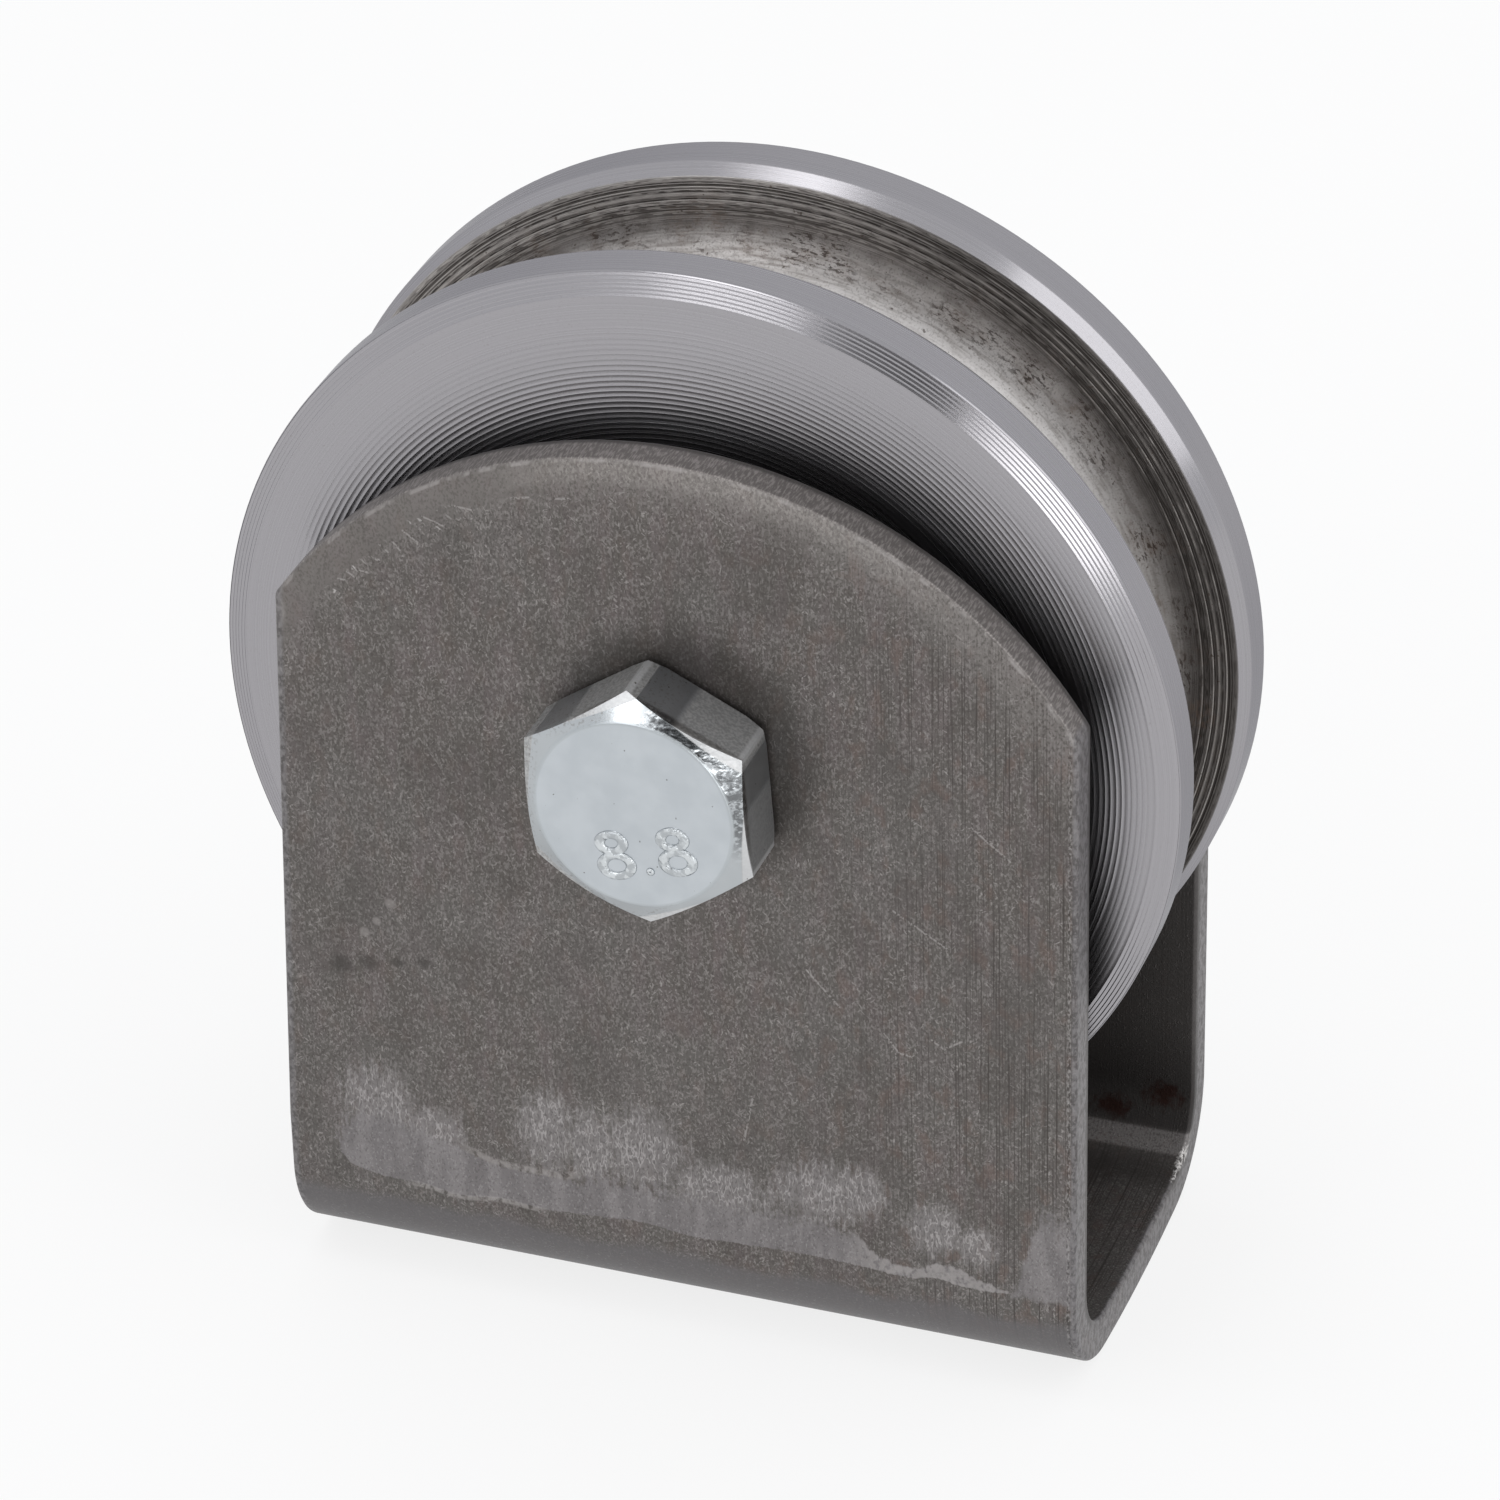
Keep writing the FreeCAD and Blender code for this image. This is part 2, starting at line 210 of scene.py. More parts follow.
bpy.ops.object.select_all(action='DESELECT')
bpy.ops.mesh.primitive_cylinder_add(
    vertices=EAR_HOLE_STEPS, radius=EAR_HOLE_RADIUS, depth=-2.2 * ahead_y,
    location=(0, 0, AXLE_HEIGHT), rotation=(math.radians(90), 0, 0))
cut_with(bracket, bpy.context.object, 'DIFFERENCE')
smooth_up_to(bracket, 35)


def mm(lengths):
    """Lengths given in millimetres, as metres."""
    return [length * MM for length in lengths]


class Reading:
    """A value that varies over a piece's surface and takes plain arithmetic."""

    def __init__(self, finish, socket):
        self.finish = finish
        self.socket = socket

    def __add__(self, other):
        return self.finish.work('ADD', self, other)

    def __sub__(self, other):
        return self.finish.work('SUBTRACT', self, other)

    def __rsub__(self, other):
        return self.finish.work('SUBTRACT', other, self)

    def __mul__(self, other):
        return self.finish.work('MULTIPLY', self, other)

    def __truediv__(self, other):
        return self.finish.work('DIVIDE', self, other)

    def __abs__(self):
        return self.finish.work('ABSOLUTE', self)

    def fade(self, start, end, low=0.0, high=1.0):
        """Goes smoothly from low to high as the value goes from start to end."""
        given = dict(enumerate((self, start, end, low, high)))
        node = self.finish.add("ShaderNodeMapRange", given, interpolation_type='SMOOTHSTEP')
        return Reading(self.finish, node.outputs[0])

    def span(self, start, end, low=0.0, high=1.0):
        """A fade of a length, with its start and end in millimetres."""
        return self.fade(start * MM, end * MM, low, high)

    def between(self, start, full, falling, end):
        """One from full to falling, and zero before start and after end, all in millimetres."""
        return self.finish.least(self.span(start, full), self.span(end, falling))


class Finish:
    """A surface finish made from the piece's own coordinates, its patterns sized in millimetres."""

    def __init__(self, name):
        self.material = bpy.data.materials.new(name)
        self.material.use_nodes = True
        self.tree = self.material.node_tree
        self.shader = self.tree.nodes["Principled BSDF"]
        self.place = Reading(self, self.add("ShaderNodeTexCoord").outputs["Object"])

    def feed(self, socket, value):
        """Links a socket to another node, or sets it. A colour needs no fourth number."""
        value = getattr(value, "socket", value)
        if isinstance(value, bpy.types.NodeSocket):
            self.tree.links.new(value, socket)
        else:
            socket.default_value = (*value, 1.0) if socket.type == 'RGBA' else value

    def add(self, kind, sockets=None, **settings):
        """Adds one node with its settings, and feeds its sockets."""
        node = self.tree.nodes.new(kind)
        for name, value in settings.items():
            setattr(node, name, value)
        for name, value in (sockets or {}).items():
            self.feed(node.inputs[name], value)
        return node

    def work(self, how, *values):
        """One step of arithmetic."""
        node = self.add("ShaderNodeMath", dict(enumerate(values)), operation=how)
        return Reading(self, node.outputs[0])

    def least(self, *values):
        """The smallest of several values."""
        return functools.reduce(lambda low, value: self.work('MINIMUM', low, value), values)

    def most(self, *values):
        """The largest of several values."""
        return functools.reduce(lambda high, value: self.work('MAXIMUM', high, value), values)

    def axes(self):
        """The three coordinates of a point on the piece, in metres."""
        node = self.add("ShaderNodeSeparateXYZ", {0: self.place})
        return [Reading(self, part) for part in node.outputs]

    def join(self, *values):
        """A place made of other values, for a pattern that follows them."""
        node = self.add("ShaderNodeCombineXYZ", dict(enumerate(values)))
        return Reading(self, node.outputs[0])

    def reach(self, first, second, centre=(0.0, 0.0)):
        """How far two coordinates lie from a centre."""
        aside, upward = first - centre[0], second - centre[1]
        return self.work('SQRT', aside * aside + upward * upward)

    def spot(self, first, second, oval):
        """One in the middle of an oval, given by centre and half sizes, and zero at its edge."""
        spread = [(value - middle) / half
                  for value, middle, half in zip((first, second), mm(oval[:2]), mm(oval[2:]))]
        return 1.0 - self.reach(*spread)

    def scratch(self, first, second, ends, width):
        """One along a thin straight mark between two places, falling to zero at its sides."""
        start, end = Vector(mm(ends[:2])), Vector(mm(ends[2:]))
        run = end - start
        line = run.normalized()
        aside, upward = first - start.x, second - start.y
        kept = self.least(self.most(aside * line.x + upward * line.y, 0.0), run.length)
        away = self.reach(aside - kept * line.x, upward - kept * line.y)
        return away.span(width / 2, width / 6)

    def grain(self, size, detail=2.0, rough=0.5, place=None, shift=0.0):
        """Fine noise about 0.5 whose spots have a size, or one along each axis."""
        spread = size if isinstance(size, tuple) else (size, size, size)
        mapping = self.add("ShaderNodeMapping", {
            "Vector": place or self.place, "Location": (shift, shift, shift),
            "Scale": [1 / length for length in mm(spread)]})
        noise = self.add("ShaderNodeTexNoise", {
            "Vector": mapping.outputs[0], "Scale": 1.0, "Detail": detail, "Roughness": rough})
        return Reading(self, noise.outputs["Fac"])

    def strokes(self, size, thickness, gaps):
        """Short thin crooked marks, one where they are strongest."""
        from_line = abs(self.grain(size, detail=1.0) - 0.5)
        broken = self.grain(size, detail=0.0, shift=17.0).fade(gaps, gaps + 0.1)
        return from_line.fade(0.0, thickness, 1.0, 0.0) * broken

    def bend(self, size, reach):
        """The piece's coordinates pushed about by noise, so that marks laid on them are crooked."""
        noise = self.add("ShaderNodeTexNoise", {
            "Vector": self.place, "Scale": 1 / (size * MM), "Detail": 1.0})
        middle = self.add("ShaderNodeVectorMath", {0: noise.outputs["Color"], 1: (0.5, 0.5, 0.5)},
                          operation='SUBTRACT')
        scaled = self.add("ShaderNodeVectorMath", {0: middle.outputs[0], "Scale": reach * MM},
                          operation='SCALE')
        moved = self.add("ShaderNodeVectorMath", {0: self.place, 1: scaled.outputs[0]}, operation='ADD')
        return Reading(self, moved.outputs[0])

    def nicks(self, place, width, length, degrees, shift=0.0):
        """Short separate marks that lie at an angle about Y, some strong and some faint."""
        mapping = self.add("ShaderNodeMapping", {
            "Vector": place, "Location": (shift, shift, shift),
            "Rotation": (0.0, math.radians(degrees), 0.0),
            "Scale": [side * CELL_MARGIN for side in mm((width, width, length))]}, vector_type='TEXTURE')
        cells = self.add("ShaderNodeTexVoronoi", {"Vector": mapping.outputs[0], "Scale": 1.0})
        parts = self.add("ShaderNodeSeparateColor", {0: cells.outputs["Color"]})
        mark = Reading(self, cells.outputs["Distance"]).fade(0.30, 0.12)
        return mark * Reading(self, parts.outputs[0]).fade(0.1, 1.0)

    def drawn(self, value, places):
        """The height of a line drawn through measured places, all in millimetres."""
        (first, _), (last, _) = places[0], places[-1]
        tallest = max(height for _, height in places)
        node = self.add("ShaderNodeFloatCurve", {"Value": (value - first * MM) / ((last - first) * MM)})
        curve = node.mapping.curves[0].points
        for index, (at, height) in enumerate(places):
            point = ((at - first) / (last - first), height / tallest)
            if index == 0:
                curve[0].location = point
            elif index == len(places) - 1:
                curve[-1].location = point
            else:
                curve.new(*point)
        node.mapping.update()
        return Reading(self, node.outputs[0]) * (tallest * MM)

    def lay(self, under, amount, over, share=1.0):
        """Lays a colour over another by an amount."""
        if share != 1.0:
            amount = amount * share
        node = self.add("ShaderNodeMix", {0: amount, 6: under, 7: over}, data_type='RGBA')
        return Reading(self, node.outputs[2])

    def build(self, under, *coats):
        """Lays several coats over a colour, each an amount, a colour and perhaps a share."""
        for coat in coats:
            under = self.lay(under, *coat)
        return under

    def relief(self, height, depth):
        """Raises the surface by a height from 0 to 1 times a depth."""
        node = self.add("ShaderNodeBump", {"Distance": depth * MM, "Height": height})
        self.feed(self.shader.inputs["Normal"], node.outputs[0])

    def surface(self, **values):
        """Sets or links the sockets of the shader."""
        for name, value in values.items():
            self.feed(self.shader.inputs[name.replace("_", " ")], value)

    def wear(self, *pieces):
        """Puts this finish on pieces, in place of what they had."""
        for piece in pieces:
            piece.data.materials.clear()
            piece.data.materials.append(self.material)


# Marks on the ears: each place is given across and up in millimetres, followed by half sizes for
# a spot or by the other end for a scratch.
SMUDGES = ((-25.4, 27.1, 1.4, 1.2), (-23.3, 27.6, 1.3, 1.0), (-21.0, 28.0, 0.8, 0.6),
           (-19.0, 28.4, 0.9, 0.7))
FLECKS = ((-23.5, 30.2, 0.6, 0.6), (-22.5, 31.3, 0.5, 0.5), (-21.4, 33.0, 0.6, 0.6),
          (-28.5, 56.0, 0.6, 1.5))
SCRATCHES = (
    (15.9, 29.4, 17.0, 28.0), (17.0, 28.0, 17.9, 27.9), (19.4, 29.6, 20.3, 29.0), (20.3, 29.0, 21.6, 29.9),
    (10.2, 33.6, 12.6, 31.0), (16.6, 39.8, 20.6, 37.4), (5.9, 21.8, 5.2, 18.1), (-5.6, 19.6, -5.3, 14.4),
    (22.4, 47.6, 25.2, 45.4), (-10.6, 67.9, -9.3, 68.2), (-7.4, 68.4, -6.2, 68.6),
    (-15.0, 66.6, -13.6, 66.5), (-17.4, 65.4, -15.8, 64.9), (-18.8, 64.0, -17.8, 63.3),
    (-17.8, 64.7, -17.5, 64.3),
    (-19.6, 63.0, -19.1, 62.4), (-20.6, 62.6, -20.0, 62.1), (-21.4, 61.5, -20.8, 61.3),
    (-23.2, 60.0, -22.5, 59.6), (-22.8, 60.3, -21.6, 60.2), (-23.9, 59.3, -23.4, 59.3))
SCRATCH_WIDTH = 0.22
RUBBED_PATCHES = (
    (-23.2, 15.2, 3.8, 4.8), (-19.0, 13.8, 3.4, 2.6), (-10.0, 15.6, 3.0, 4.4), (-6.6, 15.0, 2.4, 4.6),
    (-2.6, 15.6, 4.4, 4.6), (3.2, 13.2, 5.2, 3.2), (10.8, 14.6, 4.6, 3.6), (13.6, 15.4, 3.0, 3.0),
    (19.6, 13.4, 2.8, 2.8), (22.6, 12.6, 2.2, 2.2))
RUST_SPOTS = ((23.9, 6.1, 2.4, 1.2), (27.7, 7.5, 2.4, 1.7))
WORN_SPOT = (29.8, 3.9, 0.4, 0.9)
# The rubbed band above the fold: its top edge, its low edge and how softly the top edge runs out.
BAND_TOP = (
    (-27.5, 12.0), (-25.8, 14.4), (-24.0, 15.6), (-21.0, 15.0), (-18.0, 13.4), (-16.0, 12.7),
    (-13.9, 12.1), (-10.9, 12.0), (-8.4, 12.1), (-6.0, 13.6), (-2.9, 13.4), (0.8, 13.4), (6.1, 13.3),
    (10.2, 13.2), (13.9, 11.8), (14.9, 10.7), (17.7, 9.9), (20.3, 10.7), (23.1, 9.8), (26.0, 9.3))
BAND_LOW = (
    (-27.5, 11.0), (-26.3, 10.2), (-25.5, 9.4), (-23.2, 8.9), (-20.0, 8.8), (-17.1, 8.4),
    (-14.0, 8.8), (-11.0, 8.6), (-7.0, 8.8), (-3.0, 9.1), (0.7, 8.7), (6.0, 8.9), (10.2, 9.0),
    (13.8, 8.9), (17.7, 8.7), (19.5, 9.1), (21.6, 8.8), (26.0, 9.0))
BAND_RUN_OUT = (
    (-27.5, 3.4), (-20.0, 3.2), (-17.0, 0.9), (-9.5, 0.9), (-6.0, 3.6), (9.0, 3.6), (13.5, 1.6),
    (16.0, 0.8), (26.0, 0.8))

mill = Finish("mill_scale")
x, y, z = mill.axes()
from_bend = mill.reach(mill.most(abs(y) - bend_y, 0.0), mill.least(z - bend_z, 0.0))
outer_skin = from_bend.fade(BEND_RADIUS - 0.5 * MM, BEND_RADIUS - 0.15 * MM)
inner_radius = BEND_RADIUS - BAR_THICKNESS
inner_skin = from_bend.fade(inner_radius + 0.9 * MM, inner_radius + 0.45 * MM)
front_skin = y.span(-16.0, -16.3)
back_ear = y.span(8, 9)
from_left = x - LEFT_EDGE - mill.most(z - LEAN_START, 0.0) * math.tan(lean)
bar_edge = mill.most(x.fade(BAR_HALF_WIDTH - 0.5 * MM, BAR_HALF_WIDTH - 0.22 * MM),
                     from_left.span(0.8, 0.3))
on_crown = z.span(40, 46)
crown_reach = mill.reach(x, z, (0.0, crown_centre_z))


def inside_crown(start, end):
    """Goes from 0 to 1 between two depths below the round edge of an ear, in millimetres."""
    return crown_reach.fade(CROWN_RADIUS - start * MM, CROWN_RADIUS - end * MM)


drawn_lines = mill.grain((0.11, 16, 16))
line_share = x.span(6, 27, 0.12, 0.85)
worms = mill.strokes((0.30, 0.38, 0.80), 0.075, gaps=0.32)
crooked = mill.bend(0.45, 0.5)
nicks = mill.most(mill.nicks(crooked, 0.1, 0.48, 8), mill.nicks(crooked, 0.1, 0.4, -42, 0.013),
                  mill.nicks(crooked, 0.1, 0.4, 52, 0.027))
nicks = nicks * mill.grain(3.2, shift=47.0).fade(0.3, 0.6, 0.45, 1.0)
crumbs = mill.grain((0.16, 0.18, 0.22), detail=1.0, shift=3.0)
fine_light = mill.grain((0.15, 0.2, 0.24), detail=1.0, shift=53.0)
tint = mill.grain((1.2, 1.2, 5), shift=7.0)
sweep = mill.grain(7, shift=5.0)
shaded = mill.grain((4.5, 4.5, 7), detail=3.0, shift=83.0)
tinge = mill.grain((1.5, 1.5, 2.6), detail=3.0, shift=71.0).fade(0.52, 0.68)
tinge = tinge * x.span(0, 22, 0.35, 1.0)
ragged = mill.grain((0.5, 0.5, 0.7), detail=3.0, shift=11.0)
pitted = mill.grain((0.17, 0.22, 0.36), shift=19.0)
streaked = mill.grain((0.30, 0.30, 4.0), shift=23.0)
wavy = mill.grain(5, detail=1.0, shift=2.0)
# Darker round the bolt head, offset to its upper right: partly a real stain, partly painted shadow of the
# head.
head_shadow_and_stain = mill.reach(x, z, (1.3 * MM, AXLE_HEIGHT + 1.4 * MM)) + tint * (1.5 * MM)

smooth_border = mill.least(inside_crown(2.9, 2.1) * on_crown, x.span(-4, -12), front_skin)
flecked = 1.0 - smooth_border * 0.85
crown_rub = inside_crown(5.0, 0.6) * on_crown * crumbs.fade(0.66, 0.44, 0.3, 1.0)
top_rub = mill.least(inside_crown(2.6, 0.5), on_crown, x.between(-14, -5, 12, 27), front_skin)
top_rub = top_rub * ((fine_light.fade(0.42, 0.62) + nicks * 0.8) * 0.5 + 0.35)
crown_cut = inside_crown(0.12, 0.04) * on_crown
saw_marks = mill.grain((0.13, 0.7, 0.13), detail=3.0, shift=61.0)
cut_tone = mill.lay((0.165, 0.15, 0.142), saw_marks.fade(0.42, 0.66), (0.32, 0.296, 0.282))
# A light line on the rounded corner of the crown: partly wear, partly a painted highlight.
corner_wear_and_highlight = inside_crown(0.4, 0.25) * inside_crown(0.02, 0.15) * on_crown * tint.fade(0.45, 0.6)
hatch_row = mill.least(inside_crown(3.9, 3.1), inside_crown(1.7, 2.3),
                       x.between(-26, -24, -16, -13), on_crown)
hatch = mill.nicks(crooked, 0.15, 0.9, -58, 0.041) * hatch_row

band_top = mill.drawn(x, BAND_TOP)
above_low = z - mill.drawn(x, BAND_LOW)
below_top = band_top - z
band = mill.least(above_low / (0.35 * MM), below_top / mill.drawn(x, BAND_RUN_OUT),
                  (x + 27.4 * MM) / (2.6 * MM), (25.6 * MM - x) / (0.8 * MM))
corner_patch = mill.least((x - (z * 0.3 + 22.2 * MM)) / (1.3 * MM), (z - 8.4 * MM) / (1.6 * MM),
                          (18.5 * MM - z) / (7.0 * MM))
band = mill.least(mill.most(band, corner_patch), 1.0)
band = band + (ragged + streaked.fade(0.0, 1.0, 0.28, 0.72))
band = band.fade(1.14, 1.54) * outer_skin
pale_skin = mill.lay((0.188, 0.176, 0.179), tint.fade(0.38, 0.62), (0.246, 0.232, 0.234))
rubbed = mill.most(*[mill.spot(x, z, patch) for patch in RUBBED_PATCHES]) + (ragged + streaked)
rubbed = rubbed.fade(1.02, 1.64) * outer_skin
edge_break = ragged.fade(0.36, 0.56)
# Light lines along the top and low edges of the rubbed band and at its right end: painted highlights.
top_line = mill.least(abs(below_top).span(0.42, 0.1), x.between(-17.5, -15, -9, -7), edge_break)
low_line = mill.least(abs(above_low).span(0.3, 0.08), x.between(-22, -19, -12, -9.5), edge_break)
strip_end = mill.least(band, x.between(12, 16, 24.5, 25.5), edge_break)
band_edge_highlights = mill.most(top_line, low_line, strip_end) * outer_skin

# Paler, bluish skin low on the outer bends and base: a painted reflection of the floor.
lower_bend_reflection = (z + wavy * (2 * MM)).span(8.6, 7.2) * outer_skin
edge_tone = mill.build(
    (0.105, 0.099, 0.101),
    (ragged.fade(0.40, 0.60), (0.225, 0.216, 0.222)),
    (fine_light.fade(0.50, 0.66), (0.270, 0.260, 0.262), 0.5))
burr = mill.least(abs(x - (BAR_HALF_WIDTH - 0.55 * MM)).span(0.2, 0.05), outer_skin,
                  z.span(62, 50, 0.3, 1.0))
inner_foot = mill.least(z.between(4.9, 5.3, 7, 15), back_ear, inner_skin)
# Inside the back bend: a pale band, a painted highlight of the curved bend, with painted shade below it.
under_band_shade = mill.least(z.span(4.05, 3.85), y.span(6.5, 9), inner_skin)
far_bend_highlight = mill.least(z.between(3.88, 4.05, 4.95, 5.12), back_ear)
far_bend_highlight = far_bend_highlight * inner_skin * crumbs.fade(0.66, 0.46, 0.4, 1.0)
worn_spot = mill.least(mill.spot(x, z, WORN_SPOT), back_ear,
                       from_bend.fade(inner_radius + 0.9 * MM, inner_radius + 0.5 * MM))
worn_spot = (worn_spot + ragged * 1.2).fade(0.8, 1.1) * pitted.fade(0.4, 0.56)
rust = mill.most(*[mill.spot(x, z, spot) for spot in RUST_SPOTS]) + ragged * 1.3
rust = rust.fade(0.8, 1.45) * inner_skin

scale_tone = mill.build(
    (0.118, 0.107, 0.099),
    (tint.fade(0.4, 0.65), (0.139, 0.120, 0.117)),
    (sweep.fade(0.35, 0.65), (0.132, 0.126, 0.119), 0.6),
    (crumbs.fade(0.5, 0.66) * flecked, (0.07, 0.062, 0.057), 0.55),
    (fine_light.fade(0.5, 0.66) * flecked, (0.24, 0.224, 0.215), 0.62),
    (nicks * flecked, (0.4, 0.378, 0.365), 0.55),
    (tinge, (0.150, 0.104, 0.088), 0.45),
    (shaded.fade(0.50, 0.68), (0.072, 0.065, 0.060), 0.28),
    (drawn_lines.fade(0.52, 0.66) * line_share, (0.06, 0.052, 0.048)),
    (crown_rub, (0.235, 0.218, 0.208), 0.5),
    (top_rub, (0.38, 0.355, 0.335), 0.55),
    (crown_cut, cut_tone, 0.9),
    (corner_wear_and_highlight, (0.360, 0.340, 0.330), 0.55),
    (hatch, (0.48, 0.46, 0.45), 0.9),
    (head_shadow_and_stain.span(12.0, 8.8), (0.034, 0.029, 0.025), 0.55))
for smudge in SMUDGES:
    amount = mill.spot(x, z, smudge).fade(0.0, 0.8)
    scale_tone = mill.lay(scale_tone, amount, (0.052, 0.048, 0.044), 0.6)
for fleck in FLECKS:
    amount = mill.spot(x, z, fleck).fade(0.1, 0.6)
    scale_tone = mill.lay(scale_tone, amount, (0.290, 0.270, 0.260), 0.55)
for line in SCRATCHES:
    amount = mill.scratch(x, z, line, SCRATCH_WIDTH) * crumbs.fade(0.62, 0.46)
    scale_tone = mill.lay(scale_tone, amount, (0.4, 0.38, 0.37), 0.52)
scale_tone = mill.build(
    scale_tone,
    (rubbed, (0.250, 0.235, 0.235), 0.68),
    (rubbed * pitted.fade(0.5, 0.64), (0.092, 0.084, 0.081), 0.6),
    (rubbed * worms, (0.42, 0.4, 0.394), 0.72),
    (band, pale_skin, 0.86),
    (band * crumbs.fade(0.54, 0.7), (0.115, 0.105, 0.103), 0.55),
    (band * fine_light.fade(0.58, 0.72), (0.32, 0.305, 0.305), 0.5),
    (band_edge_highlights, (0.360, 0.340, 0.330), 0.6),
    (lower_bend_reflection, (0.138, 0.132, 0.136), 0.8),
    (bar_edge, edge_tone, 0.75),
    (burr * pitted.fade(0.5, 0.6), (0.36, 0.345, 0.34), 0.55),
    (burr * pitted.fade(0.46, 0.38), (0.05, 0.045, 0.042), 0.7),
    (inner_skin, (0.074, 0.068, 0.065), z.span(4, 5.6, 0.16, 0.86)),
    (inner_foot, (0.026, 0.023, 0.022), 0.62),
    (under_band_shade, (0.060, 0.054, 0.050), 0.6),
    (far_bend_highlight, (0.235, 0.222, 0.216), 0.75),
    (worn_spot, (0.650, 0.630, 0.610), 0.85),
    (rust, (0.026, 0.008, 0.005), 0.9))
mill.surface(Base_Color=scale_tone, Metallic=0.7, Roughness=nicks.fade(0.0, 1.0, 0.50, 0.40))
mill.relief(nicks + worms * rubbed + crumbs - drawn_lines * line_share, 0.012)
mill.wear(bracket)
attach(bracket, "frame")
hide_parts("bracket")


# Wheel: turned from a bar of mild steel. The faces and their rims show the feed of the tool as
# fine concentric ridges, and the deep round groove that carries the cable is dark and scored on
# its walls and rubbed on its floor. Each side is bored out as the seat of a ball bearing.
WHEEL_RADIUS = 35.5 * MM
HALF_WIDTH = 11.0 * MM
FACE_RADIUS = 33.85 * MM
RIM_Y = 10.4 * MM
MOUTH_Y = 7.2 * MM
WALL_RADIUS = 34.85 * MM
WALL_Y = 6.1 * MM
FLOOR_RADIUS = 26.3 * MM
WALL_TAPER = 6.0
SEAT_RADIUS = 15.0 * MM
SEAT_Y = 2.0 * MM
WEB_RADIUS = 13.0 * MM
BORE_CHAMFER = 0.5 * MM
FACE_FEED = 0.4 * MM
FACE_RIDGE_DEPTH = 0.028 * MM
FACE_RIDGE_FADING = 0.5
RIM_FEED = 0.28 * MM
RIM_RIDGE_DEPTH = 0.026 * MM
ROUND_HOLLOW = ((1 / 3, 1), (2 / 3, 1))
NARROW_HOLLOW = ((0.6, 0), (0.8, 1))
BROKEN_EDGE = 0.07 * MM
SCORE_RADII = (34.03 * MM, 33.52 * MM, 33.1 * MM, 32.3 * MM)
PATTERN_RADIUS = 30.0 * MM
WHEEL_STEPS = 200
FLOOR_STEPS = 48


def turn(name, outline, steps):
    """Turns an outline of (radius, y) points and (centre, degrees, steps) arcs about the axle."""
    radius, y = outline[0]
    piece = put_pen(name, (0, y, AXLE_HEIGHT + radius))
    for item in outline[1:]:
        if len(item) == 3:
            (radius, y), degrees, arc_steps = item
            draw_arc((0, y, AXLE_HEIGHT + radius), X_AXIS, degrees, arc_steps)
        else:
            radius, y = item
            draw_to((0, y, AXLE_HEIGHT + radius))
    bpy.ops.mesh.select_all(action='SELECT')
    bpy.ops.mesh.spin(steps=steps, angle=math.radians(360), center=(0, 0, AXLE_HEIGHT), axis=Y_AXIS)
    close_up()
    close_outwards()
    return piece


def tool_marks(start, end, feed, depth, hollow, fading=0.0):
    """Points from start up to end with one mark for each turn, its hollow given in shares of the feed."""
    start, end = Vector(start), Vector(end)
    run = end - start
    count = max(1, round(run.length / feed))
    inward = Vector((-run.y, run.x)).normalized()
    points = []
    for mark in range(count):
        uneven = ((1 + 0.06 * math.sin(2.4 * mark) + 0.03 * math.sin(0.7 * mark))
                  * (1 - fading * mark / count))
        points.append(start + run * (mark / count))
        for along, share in hollow:
            points.append(start + run * ((mark + along) / count) + inward * depth * share * uneven)
    return points


def break_edge(before, corner, after):
    """The two points that stand for a corner once its edge is broken."""
    corner = Vector(corner)
    return [corner + (Vector(side) - corner).normalized() * BROKEN_EDGE for side in (before, after)]


taper = math.radians(WALL_TAPER)
wall_depth = WALL_RADIUS - FLOOR_RADIUS
floor_arc = (WALL_Y * math.cos(taper) - wall_depth * math.sin(taper)) / (1 - math.sin(taper))
floor_centre = FLOOR_RADIUS + floor_arc
touch_radius = floor_centre + floor_arc * math.sin(taper)
touch_y = floor_arc * math.cos(taper)

face_start = (SEAT_RADIUS + BORE_CHAMFER, -HALF_WIDTH)
face_end = (FACE_RADIUS, -HALF_WIDTH)
rim_end = (WHEEL_RADIUS, -RIM_Y)
mouth = (WHEEL_RADIUS, -MOUTH_Y)
wall_top = (WALL_RADIUS, -WALL_Y)
wall_foot = (touch_radius, -touch_y)
front_half = [(WEB_RADIUS, -SEAT_Y), (SEAT_RADIUS, -SEAT_Y), (SEAT_RADIUS, -HALF_WIDTH + BORE_CHAMFER)]
front_half += tool_marks(face_start, face_end, FACE_FEED, FACE_RIDGE_DEPTH, ROUND_HOLLOW, FACE_RIDGE_FADING)
front_half += tool_marks(face_end, rim_end, RIM_FEED, RIM_RIDGE_DEPTH, NARROW_HOLLOW)
front_half += break_edge(face_end, rim_end, mouth) + break_edge(rim_end, mouth, wall_top)
front_half += [wall_top, wall_foot]
back_half = [(point[0], -point[1]) for point in reversed(front_half)]
floor_curve = [((floor_centre, 0), 180 + 2 * WALL_TAPER, FLOOR_STEPS)]
wheel_outline = front_half + floor_curve + back_half + [front_half[0]]
wheel = turn("wheel_turned", wheel_outline, WHEEL_STEPS)
smooth_up_to(wheel, 14, flats_first=False)

